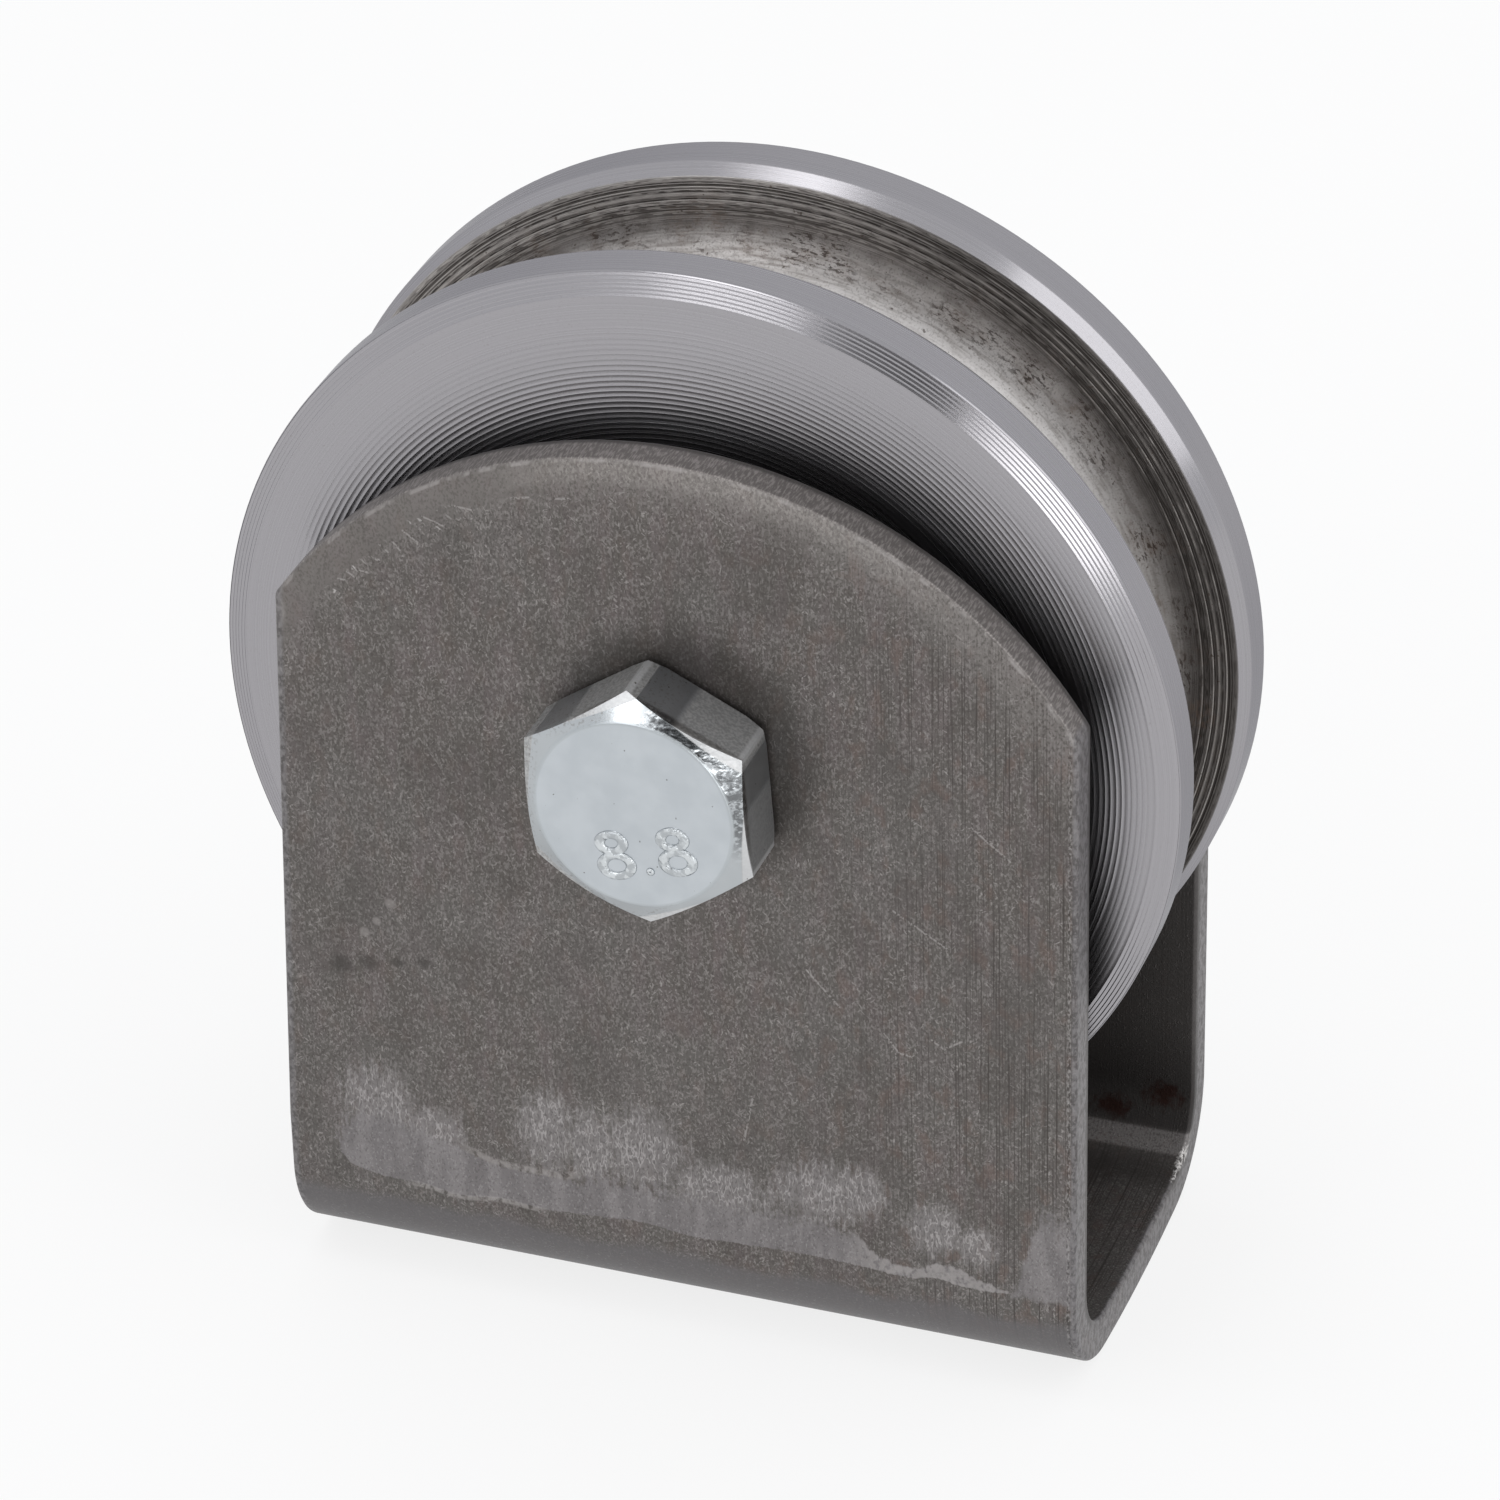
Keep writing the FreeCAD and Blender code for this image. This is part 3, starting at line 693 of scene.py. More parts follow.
turned = Finish("turned_steel")
x, y, z = turned.axes()
from_axle = turned.reach(x, z, (0.0, AXLE_HEIGHT))
across = abs(y)
around = turned.work('ARCTAN2', x, z - AXLE_HEIGHT) * PATTERN_RADIUS
ring_place = turned.join(from_axle, y)
floor_place = turned.join(around, across)
wall_place = turned.join(around, from_axle)
fine_rings = turned.grain((0.09, 0.09, 1000), place=ring_place)
scored_rings = turned.grain((0.22, 0.22, 1000), place=ring_place, shift=4.0)
wall_lines = turned.grain((0.15, 0.15, 1000), detail=1.0, place=ring_place, shift=51.0)
mottle = turned.grain((3.4, 0.8, 1000), detail=3.0, rough=0.6, place=floor_place, shift=3.0)
brushed = turned.grain((2.4, 0.13, 1000), place=floor_place, shift=37.0)
line_breaks = turned.grain((1.1, 0.2, 1000), place=wall_place, shift=57.0)
dirt_grain = turned.grain((0.6, 0.24, 1000), detail=3.0, rough=0.65, place=wall_place, shift=13.0)
speckle = turned.grain(0.16, shift=9.0)
smudge = turned.grain(1.6, detail=4.0, rough=0.65, shift=6.0)
dirt_patch = turned.grain(3.5, detail=1.0, shift=27.0).fade(0.38, 0.6)
crumb_grain = turned.grain(0.4, detail=1.0, shift=33.0)

in_groove = turned.least(across.fade(WALL_Y + 0.02 * MM, WALL_Y - 0.02 * MM),
                         from_axle.fade(WALL_RADIUS + 0.02 * MM, WALL_RADIUS - 0.02 * MM))
up_wall = from_axle - FLOOR_RADIUS + (smudge - 0.5) * (1.1 * MM)
on_wall = up_wall.span(3.6, 6.4)
foot_of_wall = across.span(3.0, 3.8) * across.span(4.9, 4.3)
dirt = up_wall.between(2.4, 3.6, 4.8, 6.6) * dirt_patch * dirt_grain.fade(0.53, 0.58)
crust = mottle.fade(0.5, 0.64) * up_wall.between(2.5, 4.0, 5.5, 8.2)
crust = crust * dirt_grain.fade(0.4, 0.56)

bright_cut = turned.build(
    (0.345, 0.337, 0.353),
    (fine_rings.fade(0.3, 0.7), (0.385, 0.375, 0.393)),
    (speckle.fade(0.62, 0.75), (0.31, 0.295, 0.30), 0.6))
groove_floor = turned.build(
    (0.46, 0.437, 0.423),
    (brushed.fade(0.35, 0.65), (0.6, 0.577, 0.566)),
    # paler over the top right of the groove floor: a painted highlight
    (x.between(1, 12, 23, 30), (0.74, 0.715, 0.7), 0.6),
    (mottle.fade(0.40, 0.74), (0.34, 0.305, 0.28), 0.24),
    (brushed.fade(0.50, 0.36), (0.30, 0.275, 0.26), 0.45),
    (speckle.fade(0.50, 0.68), (0.25, 0.225, 0.21), 0.5),
    # darker towards the right of the groove floor: painted shade
    (x.span(17, 31), (0.20, 0.185, 0.175), 0.55),
    (foot_of_wall, (0.8, 0.775, 0.76), 0.45))
groove_wall = turned.build(
    (0.125, 0.115, 0.108),
    (scored_rings.fade(0.4, 0.62), (0.3, 0.282, 0.27)),
    (wall_lines.fade(0.49, 0.57) * line_breaks.fade(0.4, 0.54), (0.038, 0.034, 0.032), 0.9),
    (wall_lines.fade(0.46, 0.39) * line_breaks.fade(0.56, 0.44), (0.5, 0.475, 0.455), 0.8),
    # darker towards the right of the groove walls: painted shade
    (x.span(6, 27), (0.050, 0.045, 0.042), 0.74))
groove_tone = turned.lay(groove_floor, on_wall, groove_wall)
for score_radius in SCORE_RADII:
    score = abs(from_axle - score_radius).span(0.08, 0.02)
    score = score * mottle.fade(0.36, 0.52, 0.2, 1.0)
    groove_tone = turned.lay(groove_tone, score, (0.50, 0.475, 0.455), 0.7)
groove_tone = turned.build(
    groove_tone,
    (crust, (0.200, 0.140, 0.105), 0.38),
    (dirt, (0.050, 0.036, 0.030), 0.75),
    (crumb_grain.fade(0.72, 0.76), (0.08, 0.06, 0.05), 0.7))

on_rim = across.fade(RIM_Y - 0.1 * MM, RIM_Y) * from_axle.fade(FACE_RADIUS, FACE_RADIUS + 0.1 * MM)
satin = fine_rings.fade(0.3, 0.7, 0.22, 0.28) - on_rim * 0.06
roughness = in_groove * speckle.fade(0.3, 0.7, 0.34, 0.46) + (1.0 - in_groove) * satin
turned.surface(
    Base_Color=turned.lay(bright_cut, in_groove, groove_tone), Metallic=1.0, Roughness=roughness,
    Specular_Tint=(0.55, 0.55, 0.57), Anisotropic=0.65, Anisotropic_Rotation=0.25,
    Tangent=turned.join(z - AXLE_HEIGHT, 0.0, 0.0 - x))
turned.relief(scored_rings * on_wall * in_groove + fine_rings * 0.03, 0.1)
turned.wear(wheel)
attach(wheel, "wheel")
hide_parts("wheel")


# Bearings: two sealed 10 x 30 x 9 mm ball bearings, pressed into the wheel from each side. Rings
# and balls are ground and polished, the cages are pressed from sheet, and the seals are rubber.
def ring_finish(name, dark, light, roughness):
    """Metal worked in rings about the axle."""
    made = Finish(name)
    aside, along, upward = made.axes()
    out = made.reach(aside, upward, (0.0, AXLE_HEIGHT))
    rings = made.grain((0.12, 0.12, 1000), detail=3.0, place=made.join(out, along))
    tarnish = made.grain(1.5, detail=3.0)
    tone = made.build(dark, (rings.fade(0.3, 0.7), light), (tarnish.fade(0.5, 0.8), dark, 0.5))
    made.surface(Base_Color=tone, Metallic=1.0,
                 Roughness=tarnish.fade(0.3, 0.7, roughness, roughness + 0.08))
    made.relief(rings, 0.004)
    return made


bearing_finish = ring_finish("bearing_steel", (0.52, 0.52, 0.54), (0.66, 0.66, 0.68), 0.12)
cage_finish = ring_finish("cage_steel", (0.38, 0.37, 0.36), (0.50, 0.49, 0.48), 0.30)
rubber = Finish("seal_rubber")
rubber_grain = rubber.grain(0.2, detail=3.0)
rubber.surface(
    Base_Color=rubber.lay((0.022, 0.022, 0.023), rubber_grain.fade(0.4, 0.7), (0.045, 0.045, 0.046)),
    Roughness=rubber_grain.fade(0.3, 0.7, 0.45, 0.6))
rubber.relief(rubber_grain, 0.01)
for side in ("front", "back"):
    bearing_finish.wear(nodes[side + "_outer_ring"], nodes[side + "_inner_ring"], nodes[side + "_balls"])
    cage_finish.wear(nodes[side + "_cage"])
    rubber.wear(nodes[side + "_outer_seal"], nodes[side + "_inner_seal"])


# Spacers: three plain turned steel rings on the bolt. Two keep the bearings off the ears, and the
# third keeps them apart.
spacer_finish = ring_finish("spacer_steel", (0.34, 0.34, 0.345), (0.46, 0.46, 0.465), 0.28)
spacer_finish.wear(nodes["front_spacer"], nodes["centre_spacer"], nodes["back_spacer"])


# Bolt: a cold-formed M10 hexagon bolt, bright zinc plated. Its head has a turned top chamfer and
# the raised numerals of its strength, and the far end is rolled with a 1.5 mm thread. It passes
# through both ears, the spacers and the bearings.
HEAD_ACROSS_FLATS = 16.0 * MM
HEAD_FRONT_Y = -22.75 * MM
HEAD_BACK_Y = -16.95 * MM
HEAD_TOP_RADIUS = 7.25 * MM
HEAD_REAR_RADIUS = 8.6 * MM
HEAD_REAR_CHAMFER = 0.9 * MM
HEAD_CHAMFER_SLOPE = 30.0
HEAD_ROUNDING = 0.16 * MM
HEAD_TURN = 3.8
WASHER_FACE_RADIUS = 7.4 * MM
BOLT_RADIUS = 5.0 * MM
BOLT_END_Y = 33.5 * MM
ROOT_RADIUS = 6.0 * MM
OVERLAP = 1.0 * MM
SMALL_BREAK = 0.1 * MM
DOUBLED_POINTS = 0.002 * MM
TRIM_STEPS = 96
ROUND_STEPS = 72
SHANK_STEPS = 64
THREAD_START_Y = 7.5 * MM
THREAD_PITCH = 1.5 * MM
THREAD_TOP_RADIUS = 4.88 * MM
THREAD_ROOT_RADIUS = 4.1 * MM
THREAD_SUNK = 0.2 * MM
THREAD_RUN_OUT = 1.0 * MM
THREAD_FLANK_ANGLE = 30.0
THREAD_END_CHAMFER = 0.8 * MM
THREAD_STEPS = 36
NUMERAL_TURN = 13.6
NUMERAL_RISE = 0.15 * MM
NUMERAL_PLACE = (-1.3 * MM, 0, 43.8 * MM)
# The rings of the two eights and the point, as along, up, width, height and line in millimetres.
NUMERAL_RINGS = ((0, 0, 3.0, 2.3, 0.84), (0.05, 1.8, 2.6, 2.0, 0.84), (4.65, 0, 3.0, 2.3, 0.84),
                 (4.7, 1.8, 2.6, 2.0, 0.84), (2.38, -0.62, 0.62, 0.62, 0.3))


def hexagon(name, across_flats, low_y, high_y, degrees):
    """A hexagonal prism about the axle, one corner turned from straight up."""
    bpy.ops.object.select_all(action='DESELECT')
    bpy.ops.mesh.primitive_cylinder_add(
        vertices=6, radius=across_flats / math.sqrt(3), depth=high_y - low_y,
        location=(0, (low_y + high_y) / 2, AXLE_HEIGHT), rotation=(math.radians(90), 0, 0))
    prism = bpy.context.object
    prism.name = name
    bpy.ops.object.transform_apply(location=True, rotation=True, scale=True)
    open_all()
    bpy.ops.transform.rotate(
        value=math.radians(degrees), orient_axis='Y', orient_type='GLOBAL',
        center_override=(0, 0, AXLE_HEIGHT))
    bpy.ops.object.mode_set(mode='OBJECT')
    return prism


def round_edges(piece, width, segments, over_degrees):
    """Rounds the edges of a piece that are sharper than an angle, after joining doubled points."""
    pick(piece)
    open_all()
    bpy.ops.mesh.remove_doubles(threshold=DOUBLED_POINTS)
    bpy.ops.object.mode_set(mode='OBJECT')
    finish_with(piece, 'BEVEL', width=width, segments=segments, limit_method='ANGLE',
                angle_limit=math.radians(over_degrees))


chamfer_slope = math.tan(math.radians(HEAD_CHAMFER_SLOPE))
trim_radius = HEAD_ACROSS_FLATS / math.sqrt(3) + CUT_MARGIN
head = hexagon("bolt_head", HEAD_ACROSS_FLATS, HEAD_FRONT_Y, HEAD_BACK_Y, HEAD_TURN)
head_trim = turn("head_trim", [
    (0, HEAD_FRONT_Y - SAME_PLACE), (HEAD_TOP_RADIUS, HEAD_FRONT_Y - SAME_PLACE),
    (trim_radius, HEAD_FRONT_Y + (trim_radius - HEAD_TOP_RADIUS) * chamfer_slope),
    (trim_radius, HEAD_BACK_Y - HEAD_REAR_CHAMFER), (HEAD_REAR_RADIUS, HEAD_BACK_Y + SAME_PLACE),
    (0, HEAD_BACK_Y + SAME_PLACE)], TRIM_STEPS)
cut_with(head, head_trim, 'INTERSECT')
round_edges(head, HEAD_ROUNDING, 3, 25)
smooth_up_to(head, 28)

shank = turn("bolt_shank", [
    (0, HEAD_BACK_Y - OVERLAP), (ROOT_RADIUS, HEAD_BACK_Y - OVERLAP), (ROOT_RADIUS, HEAD_BACK_Y),
    (WASHER_FACE_RADIUS - SMALL_BREAK, HEAD_BACK_Y), (WASHER_FACE_RADIUS, HEAD_BACK_Y + SMALL_BREAK),
    (WASHER_FACE_RADIUS, -EAR_OUTER_Y), (BOLT_RADIUS, -EAR_OUTER_Y),
    (BOLT_RADIUS, THREAD_START_Y), (THREAD_ROOT_RADIUS, THREAD_START_Y + THREAD_RUN_OUT),
    (THREAD_ROOT_RADIUS, BOLT_END_Y - SMALL_BREAK), (THREAD_ROOT_RADIUS - SMALL_BREAK, BOLT_END_Y),
    (0, BOLT_END_Y)], SHANK_STEPS)
smooth_up_to(shank, 28)

ridge_foot = THREAD_ROOT_RADIUS - THREAD_SUNK
ridge_slope = math.tan(math.radians(THREAD_FLANK_ANGLE)) * (THREAD_TOP_RADIUS - ridge_foot)
crest_half = THREAD_PITCH / 16
thread = put_pen("bolt_thread", (0, THREAD_START_Y, ridge_foot))
draw_to((0, THREAD_START_Y + ridge_slope, THREAD_TOP_RADIUS),
        (0, THREAD_START_Y + ridge_slope + 2 * crest_half, THREAD_TOP_RADIUS),
        (0, THREAD_START_Y + 2 * ridge_slope + 2 * crest_half, ridge_foot),
        (0, THREAD_START_Y, ridge_foot))
close_up()
bpy.ops.object.mode_set(mode='OBJECT')
thread_turns = round((BOLT_END_Y - THREAD_START_Y) / THREAD_PITCH)
finish_with(thread, 'SCREW', axis='Y', screw_offset=THREAD_PITCH, iterations=thread_turns,
            steps=THREAD_STEPS, render_steps=THREAD_STEPS, use_merge_vertices=True,
            merge_threshold=SAME_PLACE)
open_all()
bpy.ops.transform.translate(value=(0, 0, AXLE_HEIGHT))
bpy.ops.mesh.fill_holes(sides=4)
close_outwards()
thread_limit = turn("thread_limit", [
    (0, THREAD_START_Y), (THREAD_ROOT_RADIUS, THREAD_START_Y),
    (THREAD_TOP_RADIUS + SAME_PLACE, THREAD_START_Y + THREAD_RUN_OUT),
    (THREAD_TOP_RADIUS + SAME_PLACE, BOLT_END_Y - THREAD_END_CHAMFER),
    (THREAD_TOP_RADIUS - THREAD_END_CHAMFER, BOLT_END_Y - SAME_PLACE),
    (0, BOLT_END_Y - SAME_PLACE)], ROUND_STEPS)
cut_with(thread, thread_limit, 'INTERSECT')
smooth_up_to(thread, 30)


def raised_ring(along, up, width, height, line):
    """One soft oval ring on the head's face, placed along and up the row of numerals."""
    bpy.ops.object.select_all(action='DESELECT')
    bpy.ops.mesh.primitive_torus_add(
        major_radius=(width - line) / 2, minor_radius=line / 2,
        major_segments=40, minor_segments=12, rotation=(math.radians(90), 0, 0))
    ring = bpy.context.object
    bpy.ops.object.transform_apply(location=True, rotation=True, scale=True)
    open_all()
    bpy.ops.transform.resize(value=(1, 2 * NUMERAL_RISE / line, height / width))
    bpy.ops.transform.translate(value=(along, HEAD_FRONT_Y, up))
    bpy.ops.object.mode_set(mode='OBJECT')
    return ring


rings = [raised_ring(*mm(ring)) for ring in NUMERAL_RINGS]
pick(rings[0])
for ring in rings:
    ring.select_set(True)
bpy.ops.object.join()
numerals = bpy.context.object
numerals.name = "strength_numerals"
open_all()
bpy.ops.transform.rotate(value=math.radians(NUMERAL_TURN), orient_axis='Y', orient_type='GLOBAL',
                         center_override=(0, 0, 0))
bpy.ops.transform.translate(value=NUMERAL_PLACE)
bpy.ops.object.mode_set(mode='OBJECT')
smooth_up_to(numerals, 60, flats_first=False)

zinc = Finish("zinc_plate")
x, y, z = zinc.axes()
from_axle = zinc.reach(x, z, (0.0, AXLE_HEIGHT))
frost = zinc.grain(0.22, detail=3.0)
bloom = zinc.grain(2.5, detail=3.0, shift=4.0)
dust = zinc.grain(0.3, detail=0.0, shift=21.0)
crumple = zinc.grain((1.1, 1.1, 0.6), shift=8.0)
scuffed = zinc.grain((0.5, 0.5, 0.32), detail=3.0, rough=0.6, shift=44.0)
beaten = zinc.grain(0.6, shift=35.0).fade(0.40, 0.60)
on_chamfer = zinc.least(from_axle.fade(HEAD_TOP_RADIUS, HEAD_TOP_RADIUS + 0.2 * MM),
                        y.fade(HEAD_FRONT_Y + 1.4 * MM, HEAD_FRONT_Y + 0.9 * MM))
on_head = y.fade(HEAD_BACK_Y + 0.2 * MM, HEAD_BACK_Y)
past_flat = 0.0
for flat in (30, 90, 150):
    turned_by = math.radians(HEAD_TURN + flat)
    toward_flat = x * math.sin(turned_by) + (z - AXLE_HEIGHT) * math.cos(turned_by)
    past_flat = zinc.most(abs(toward_flat), past_flat)
on_flank = past_flat.span(7.8, 7.9) * on_head
behind_chamfer = y - HEAD_FRONT_Y - (from_axle - HEAD_TOP_RADIUS) * chamfer_slope
# Light lines along the head's front rim and corners, faint on the left: painted highlights.
rim_line = (past_flat.span(7.8, 7.92) * behind_chamfer.span(0.2, 0.08)
            * behind_chamfer.span(-0.14, -0.06))
corner_line = from_axle.span(9.0, 9.12) * behind_chamfer.span(-0.05, 0.05)
head_edge_highlight = zinc.least(zinc.most(rim_line, corner_line), on_head, x.span(-5, -1, 0.15, 1.0))
face_border = zinc.least(abs(from_axle - HEAD_TOP_RADIUS).span(0.22, 0.05), on_head)
tool_side = (x + (z - AXLE_HEIGHT)).span(4, 8) * x.span(-0.5, 2)
# Dark over the upper right of the chamfer, on the crumpled metal: a painted dark reflection.
chamfer_dark_reflection = on_chamfer * tool_side * scuffed.fade(0.62, 0.46)
grime = zinc.least(zinc.grain(0.22, shift=15.0).fade(0.56, 0.68), past_flat.span(7.0, 7.9),
                   x.span(4, -1), on_head)
# Darker over the right flank: a painted dark reflection of the ear.
right_flank_dark_reflection = zinc.least(x.span(7.0, 7.6),
                         z.fade(AXLE_HEIGHT + 4.7 * MM, AXLE_HEIGHT + 4.1 * MM))
flank_tone = zinc.build(
    (0.36, 0.355, 0.35),
    (frost.fade(0.38, 0.64), (0.54, 0.535, 0.525)),
    (right_flank_dark_reflection, (0.22, 0.22, 0.22), 0.55))
on_numeral = y.fade(HEAD_FRONT_Y - 0.02 * MM, HEAD_FRONT_Y - 0.06 * MM)
# Numerals darker than the face, with pale patches that are painted glints.
numeral_glint_tone = zinc.lay((0.4, 0.42, 0.43), beaten, (0.72, 0.75, 0.76))
# A dark line where the numerals meet the face: painted shade in the crease.
outline = y.fade(HEAD_FRONT_Y - 0.002 * MM, HEAD_FRONT_Y - 0.015 * MM)
outline = outline * y.fade(HEAD_FRONT_Y - 0.065 * MM, HEAD_FRONT_Y - 0.03 * MM)
# Darker in the roots of the thread: painted shade.
thread_root_shade = zinc.least(
    y.fade(EAR_OUTER_Y, EAR_OUTER_Y + 1.0 * MM),
    from_axle.fade(THREAD_TOP_RADIUS - 0.05 * MM, THREAD_ROOT_RADIUS + 0.15 * MM),
    from_axle.fade(THREAD_ROOT_RADIUS - 0.08 * MM, THREAD_ROOT_RADIUS - 0.02 * MM))
bolt_end = zinc.least(y.fade(BOLT_END_Y - 0.1 * MM, BOLT_END_Y - 0.04 * MM),
                      frost.fade(0.3, 0.6, 0.6, 1.0))
plate_tone = zinc.build(
    (0.50, 0.535, 0.565),
    (bloom.fade(0.3, 0.7), (0.55, 0.585, 0.615)),
    # the whole chamfer a little darker: a painted dark reflection
    (on_chamfer, (0.46, 0.48, 0.49), 0.6),
    (chamfer_dark_reflection, (0.13, 0.135, 0.14), 0.85),
    (face_border, (0.40, 0.43, 0.44), 0.45),
    (on_flank, flank_tone, 0.8),
    (grime, (0.20, 0.18, 0.16), 0.5),
    (head_edge_highlight, (0.80, 0.81, 0.82), 0.6),
    (on_numeral, numeral_glint_tone, 0.6),
    (outline, (0.24, 0.245, 0.25), 0.45),
    (thread_root_shade, (0.150, 0.155, 0.155), 0.8),
    (bolt_end, (0.33, 0.34, 0.34), 0.7),
    (dust.fade(0.82, 0.85), (0.10, 0.09, 0.08), 0.8))
lit_side = (x * 0.6 + (z - AXLE_HEIGHT) * 0.8).span(1.5, 4.5)
roughness = on_chamfer * (0.12 - lit_side * 0.24) + 0.32 + on_flank * 0.24
zinc.surface(Base_Color=plate_tone, Metallic=1.0, Roughness=roughness)
zinc.relief(crumple * on_chamfer * tool_side * 0.6 + beaten * on_numeral * 0.38 + frost * 0.03, 0.12)
zinc.wear(head, shank, thread, numerals)
for piece in (head, shank, thread, numerals):
    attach(piece, "frame")
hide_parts("axle_bolt")


# Washer: a flat ring stamped from zinc-plated sheet steel, its edges rounded by the die. It lies
# between the back ear and the nut.
WASHER_INNER_RADIUS = 5.25 * MM
WASHER_OUTER_RADIUS = 10.0 * MM
WASHER_THICKNESS = 2.0 * MM
WASHER_ROUNDING = 0.25 * MM

washer_back = EAR_OUTER_Y + WASHER_THICKNESS
washer = turn("washer", [
    (WASHER_INNER_RADIUS, EAR_OUTER_Y), (WASHER_OUTER_RADIUS, EAR_OUTER_Y),
    (WASHER_OUTER_RADIUS, washer_back), (WASHER_INNER_RADIUS, washer_back),
    (WASHER_INNER_RADIUS, EAR_OUTER_Y)], ROUND_STEPS)
round_edges(washer, WASHER_ROUNDING, 3, 40)
smooth_up_to(washer, 35)
zinc.wear(washer)
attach(washer, "frame")
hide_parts("nut_washer")


# Lock nut: a zinc-plated M10 hexagon nut with a round collar, which is rolled over a plastic ring
# that grips the thread and keeps the nut from shaking loose.
NUT_FACE_RADIUS = 7.6 * MM
NUT_HEXAGON = 7.0 * MM
NUT_TURN = 17.0
COLLAR_RADIUS = 7.0 * MM
COLLAR_HEIGHT = 3.0 * MM
COLLAR_ROUNDING = 1.2 * MM
COLLAR_OPENING = 5.5 * MM
INSERT_RADIUS = 6.2 * MM
INSERT_HEIGHT = 2.4 * MM
INSERT_BORE = 4.75 * MM
INSERT_PLAY = 0.02 * MM
INSERT_CHAMFER = 0.3 * MM
NUT_BORE = 5.0 * MM
NUT_ROUNDING = 0.12 * MM

hexagon_back = washer_back + NUT_HEXAGON
collar_back = hexagon_back + COLLAR_HEIGHT
nut_chamfer = (trim_radius - NUT_FACE_RADIUS) * chamfer_slope
nut = hexagon("lock_nut_body", HEAD_ACROSS_FLATS, washer_back, hexagon_back, NUT_TURN)
nut_trim = turn("nut_trim", [
    (0, washer_back - SAME_PLACE), (NUT_FACE_RADIUS, washer_back - SAME_PLACE),
    (trim_radius, washer_back + nut_chamfer), (trim_radius, hexagon_back - nut_chamfer),
    (NUT_FACE_RADIUS, hexagon_back + SAME_PLACE), (0, hexagon_back + SAME_PLACE)], TRIM_STEPS)
cut_with(nut, nut_trim, 'INTERSECT')
rounding_start = collar_back - COLLAR_ROUNDING
collar = turn("nut_collar", [
    (0, hexagon_back - OVERLAP), (COLLAR_RADIUS, hexagon_back - OVERLAP), (COLLAR_RADIUS, rounding_start),
    ((COLLAR_RADIUS - COLLAR_ROUNDING, rounding_start), 90, 8),
    (0, collar_back)], ROUND_STEPS)
cut_with(nut, collar, 'UNION')
recess = turn("nut_recess", [
    (0, hexagon_back), (INSERT_RADIUS, hexagon_back), (INSERT_RADIUS, hexagon_back + INSERT_HEIGHT),
    (COLLAR_OPENING, hexagon_back + INSERT_HEIGHT), (COLLAR_OPENING, collar_back + CUT_MARGIN),
    (0, collar_back + CUT_MARGIN)], ROUND_STEPS)
cut_with(nut, recess, 'DIFFERENCE')
bore = turn("nut_bore", [
    (0, washer_back - CUT_MARGIN), (NUT_BORE, washer_back - CUT_MARGIN),
    (NUT_BORE, hexagon_back + CUT_MARGIN), (0, hexagon_back + CUT_MARGIN)], ROUND_STEPS)
cut_with(nut, bore, 'DIFFERENCE')
round_edges(nut, NUT_ROUNDING, 2, 30)
smooth_up_to(nut, 30)
zinc.wear(nut)
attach(nut, "frame")
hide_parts("lock_nut")

insert_front = hexagon_back + INSERT_PLAY
insert_back = hexagon_back + INSERT_HEIGHT - INSERT_PLAY
insert = turn("nut_insert_ring", [
    (INSERT_BORE, insert_front), (INSERT_RADIUS - INSERT_PLAY, insert_front),
    (INSERT_RADIUS - INSERT_PLAY, insert_back), (INSERT_BORE + INSERT_CHAMFER, insert_back),
    (INSERT_BORE, hexagon_back + INSERT_HEIGHT - INSERT_CHAMFER),
    (INSERT_BORE, insert_front)], ROUND_STEPS)
smooth_up_to(insert, 35)
nylon = Finish("nut_plastic")
haze = nylon.grain(0.8, detail=3.0)
nylon.surface(Base_Color=nylon.lay((0.66, 0.69, 0.68), haze.fade(0.3, 0.7), (0.76, 0.78, 0.76)),
              Roughness=haze.fade(0.3, 0.7, 0.35, 0.5))
nylon.relief(haze, 0.01)
nylon.wear(insert)
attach(insert, "frame")
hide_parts("nut_insert")


# Stage: a plain white floor and even, soft studio light, with a dim side where the camera stands
# and five soft panels, two of them low in front.
FLOOR_SIZE = 12.0
FLOOR_GLOW = 0.80
SKY_STRENGTH = 0.90
DIM_SHARE = 0.04
DIM_AZIMUTH = math.radians(10.0)
DIM_ELEVATION = math.radians(15.0)
DIM_CORE = math.radians(13.0)
DIM_EDGE = math.radians(19.0)

bpy.ops.object.select_all(action='DESELECT')
bpy.ops.mesh.primitive_plane_add(size=FLOOR_SIZE)
floor = bpy.context.object
floor.name = "floor"
paint = Finish("floor_paint")
paint.surface(Base_Color=(0.85, 0.85, 0.85), Roughness=0.8, Specular_IOR_Level=0.1)
rays = paint.add("ShaderNodeLightPath").outputs
seen = paint.most(rays["Is Camera Ray"], rays["Is Glossy Ray"], rays["Is Transmission Ray"])
glow = paint.add("ShaderNodeEmission", {"Color": (1.0, 1.0, 1.0)})
mixed = paint.add("ShaderNodeMixShader", {
    0: seen * FLOOR_GLOW, 1: paint.shader.outputs[0], 2: glow.outputs[0]})
paint.feed(paint.tree.nodes["Material Output"].inputs["Surface"], mixed.outputs[0])
paint.wear(floor)


def toward(azimuth, elevation, distance=1.0):
    """A place as seen from the wheel: azimuth 0 is straight in front, and turns to the right."""
    level = distance * math.cos(elevation)
    return Vector((level * math.sin(azimuth), -level * math.cos(azimuth), distance * math.sin(elevation)))


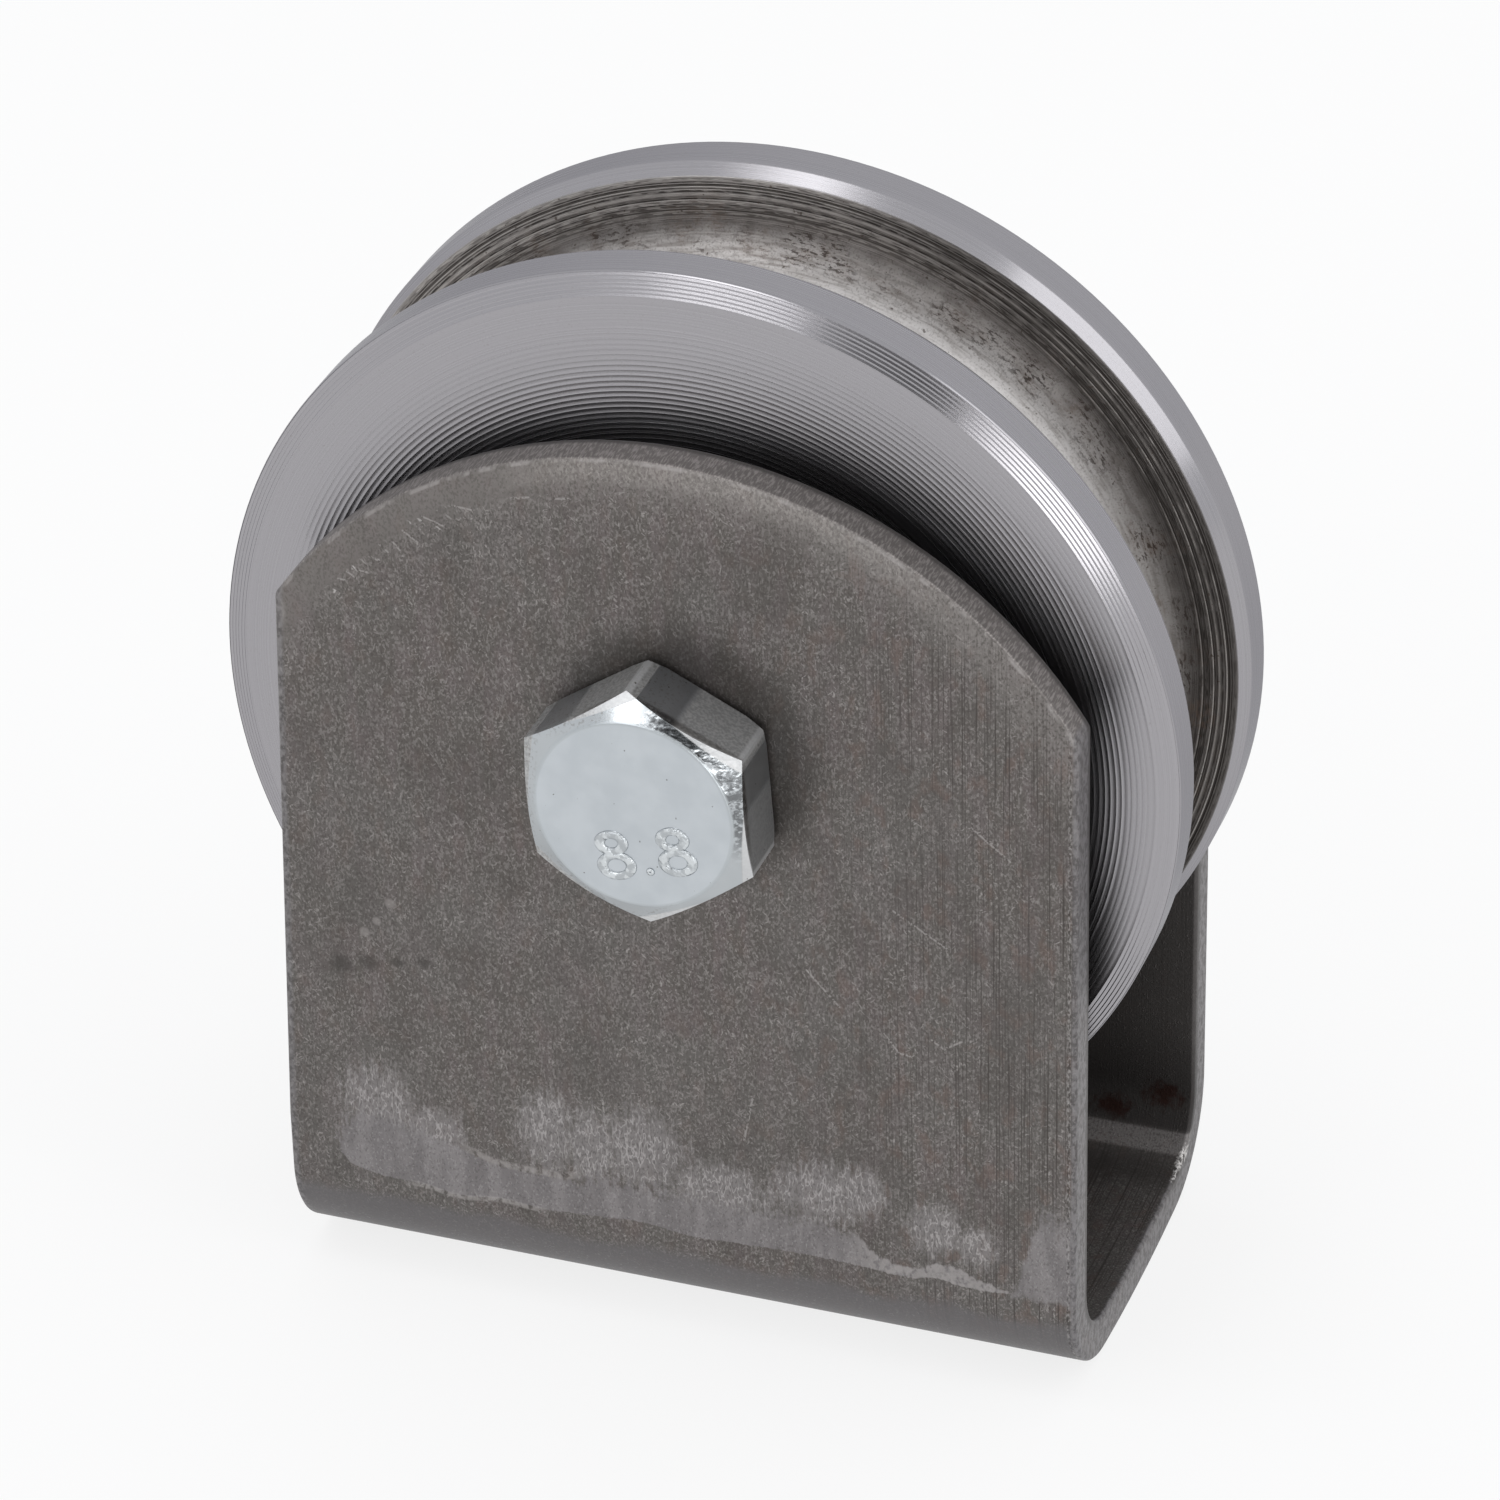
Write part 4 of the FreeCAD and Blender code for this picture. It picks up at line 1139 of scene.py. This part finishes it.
studio = bpy.data.worlds.new("studio")
bpy.context.scene.world = studio
studio.use_nodes = True
sky_nodes = studio.node_tree.nodes
sky = sky_nodes["Background"]
sky.inputs["Color"].default_value = (0.97, 0.98, 1.0, 1.0)
sky_place = sky_nodes.new("ShaderNodeTexCoord")
dim_cosine = sky_nodes.new("ShaderNodeVectorMath")
dim_cosine.operation = 'DOT_PRODUCT'
dim_cosine.inputs[1].default_value = toward(DIM_AZIMUTH, DIM_ELEVATION)
dimming = sky_nodes.new("ShaderNodeMapRange")
dimming.interpolation_type = 'SMOOTHSTEP'
dimming.inputs["From Min"].default_value = math.cos(DIM_EDGE)
dimming.inputs["From Max"].default_value = math.cos(DIM_CORE)
dimming.inputs["To Min"].default_value = SKY_STRENGTH
dimming.inputs["To Max"].default_value = SKY_STRENGTH * DIM_SHARE
studio.node_tree.links.new(sky_place.outputs["Generated"], dim_cosine.inputs[0])
studio.node_tree.links.new(dim_cosine.outputs["Value"], dimming.inputs["Value"])
studio.node_tree.links.new(dimming.outputs[0], sky.inputs["Strength"])


def panel(name, azimuth, elevation, distance, width, height, radiance):
    """A soft panel light that faces the wheel, as bright all over as a radiance."""
    light = bpy.data.lights.new(name, 'AREA')
    light.shape = 'RECTANGLE'
    light.size = width
    light.size_y = height
    light.energy = radiance * math.pi * width * height
    lamp = bpy.data.objects.new(name, light)
    bpy.context.scene.collection.objects.link(lamp)
    aim = Vector((0, 0, AXLE_HEIGHT))
    away = toward(math.radians(azimuth), math.radians(elevation), distance)
    lamp.location = aim + away
    lamp.rotation_euler = (-away).to_track_quat('-Z', 'Y').to_euler()
    lamp.visible_camera = False


panel("key_panel", -20, 26, 1.0, 0.32, 0.24, 2.6)
panel("side_panel", 83, 36, 1.0, 0.40, 0.85, 1.45)
panel("top_panel", -55, 77, 1.0, 0.36, 0.36, 2.4)
panel("rim_panel", -14, 9, 0.8, 0.17, 0.10, 2.7)
panel("low_panel", 19.0, 1.5, 0.352, 0.132, 0.094, 3.0)

CAMERA_YAW = math.radians(20.367)
CAMERA_PITCH = math.radians(31.111)
CAMERA_ROLL = math.radians(-1.392)
CAMERA_DISTANCE = 475.48 * MM
CAMERA_AIM = Vector((0.244 * MM, 0, 40.307 * MM))
FOCAL_PIXELS = 6604.3
PHOTO_WIDTH = 1500
SENSOR_WIDTH = 36.0

backward = toward(CAMERA_YAW, CAMERA_PITCH)
level = Vector((math.cos(CAMERA_YAW), math.sin(CAMERA_YAW), 0))
upright = backward.cross(level)
rightward = level * math.cos(CAMERA_ROLL) + upright * math.sin(CAMERA_ROLL)
upward = upright * math.cos(CAMERA_ROLL) - level * math.sin(CAMERA_ROLL)
turn_matrix = Matrix((rightward, upward, backward)).transposed().to_4x4()
camera_data = bpy.data.cameras.new("camera")
camera_data.sensor_width = SENSOR_WIDTH
camera_data.lens = FOCAL_PIXELS * SENSOR_WIDTH / PHOTO_WIDTH
camera_data.clip_start = 0.01
camera = bpy.data.objects.new("camera", camera_data)
bpy.context.scene.collection.objects.link(camera)
camera.matrix_world = Matrix.Translation(CAMERA_AIM + backward * CAMERA_DISTANCE) @ turn_matrix
bpy.context.scene.camera = camera
bpy.context.scene.view_settings.view_transform = 'Standard'
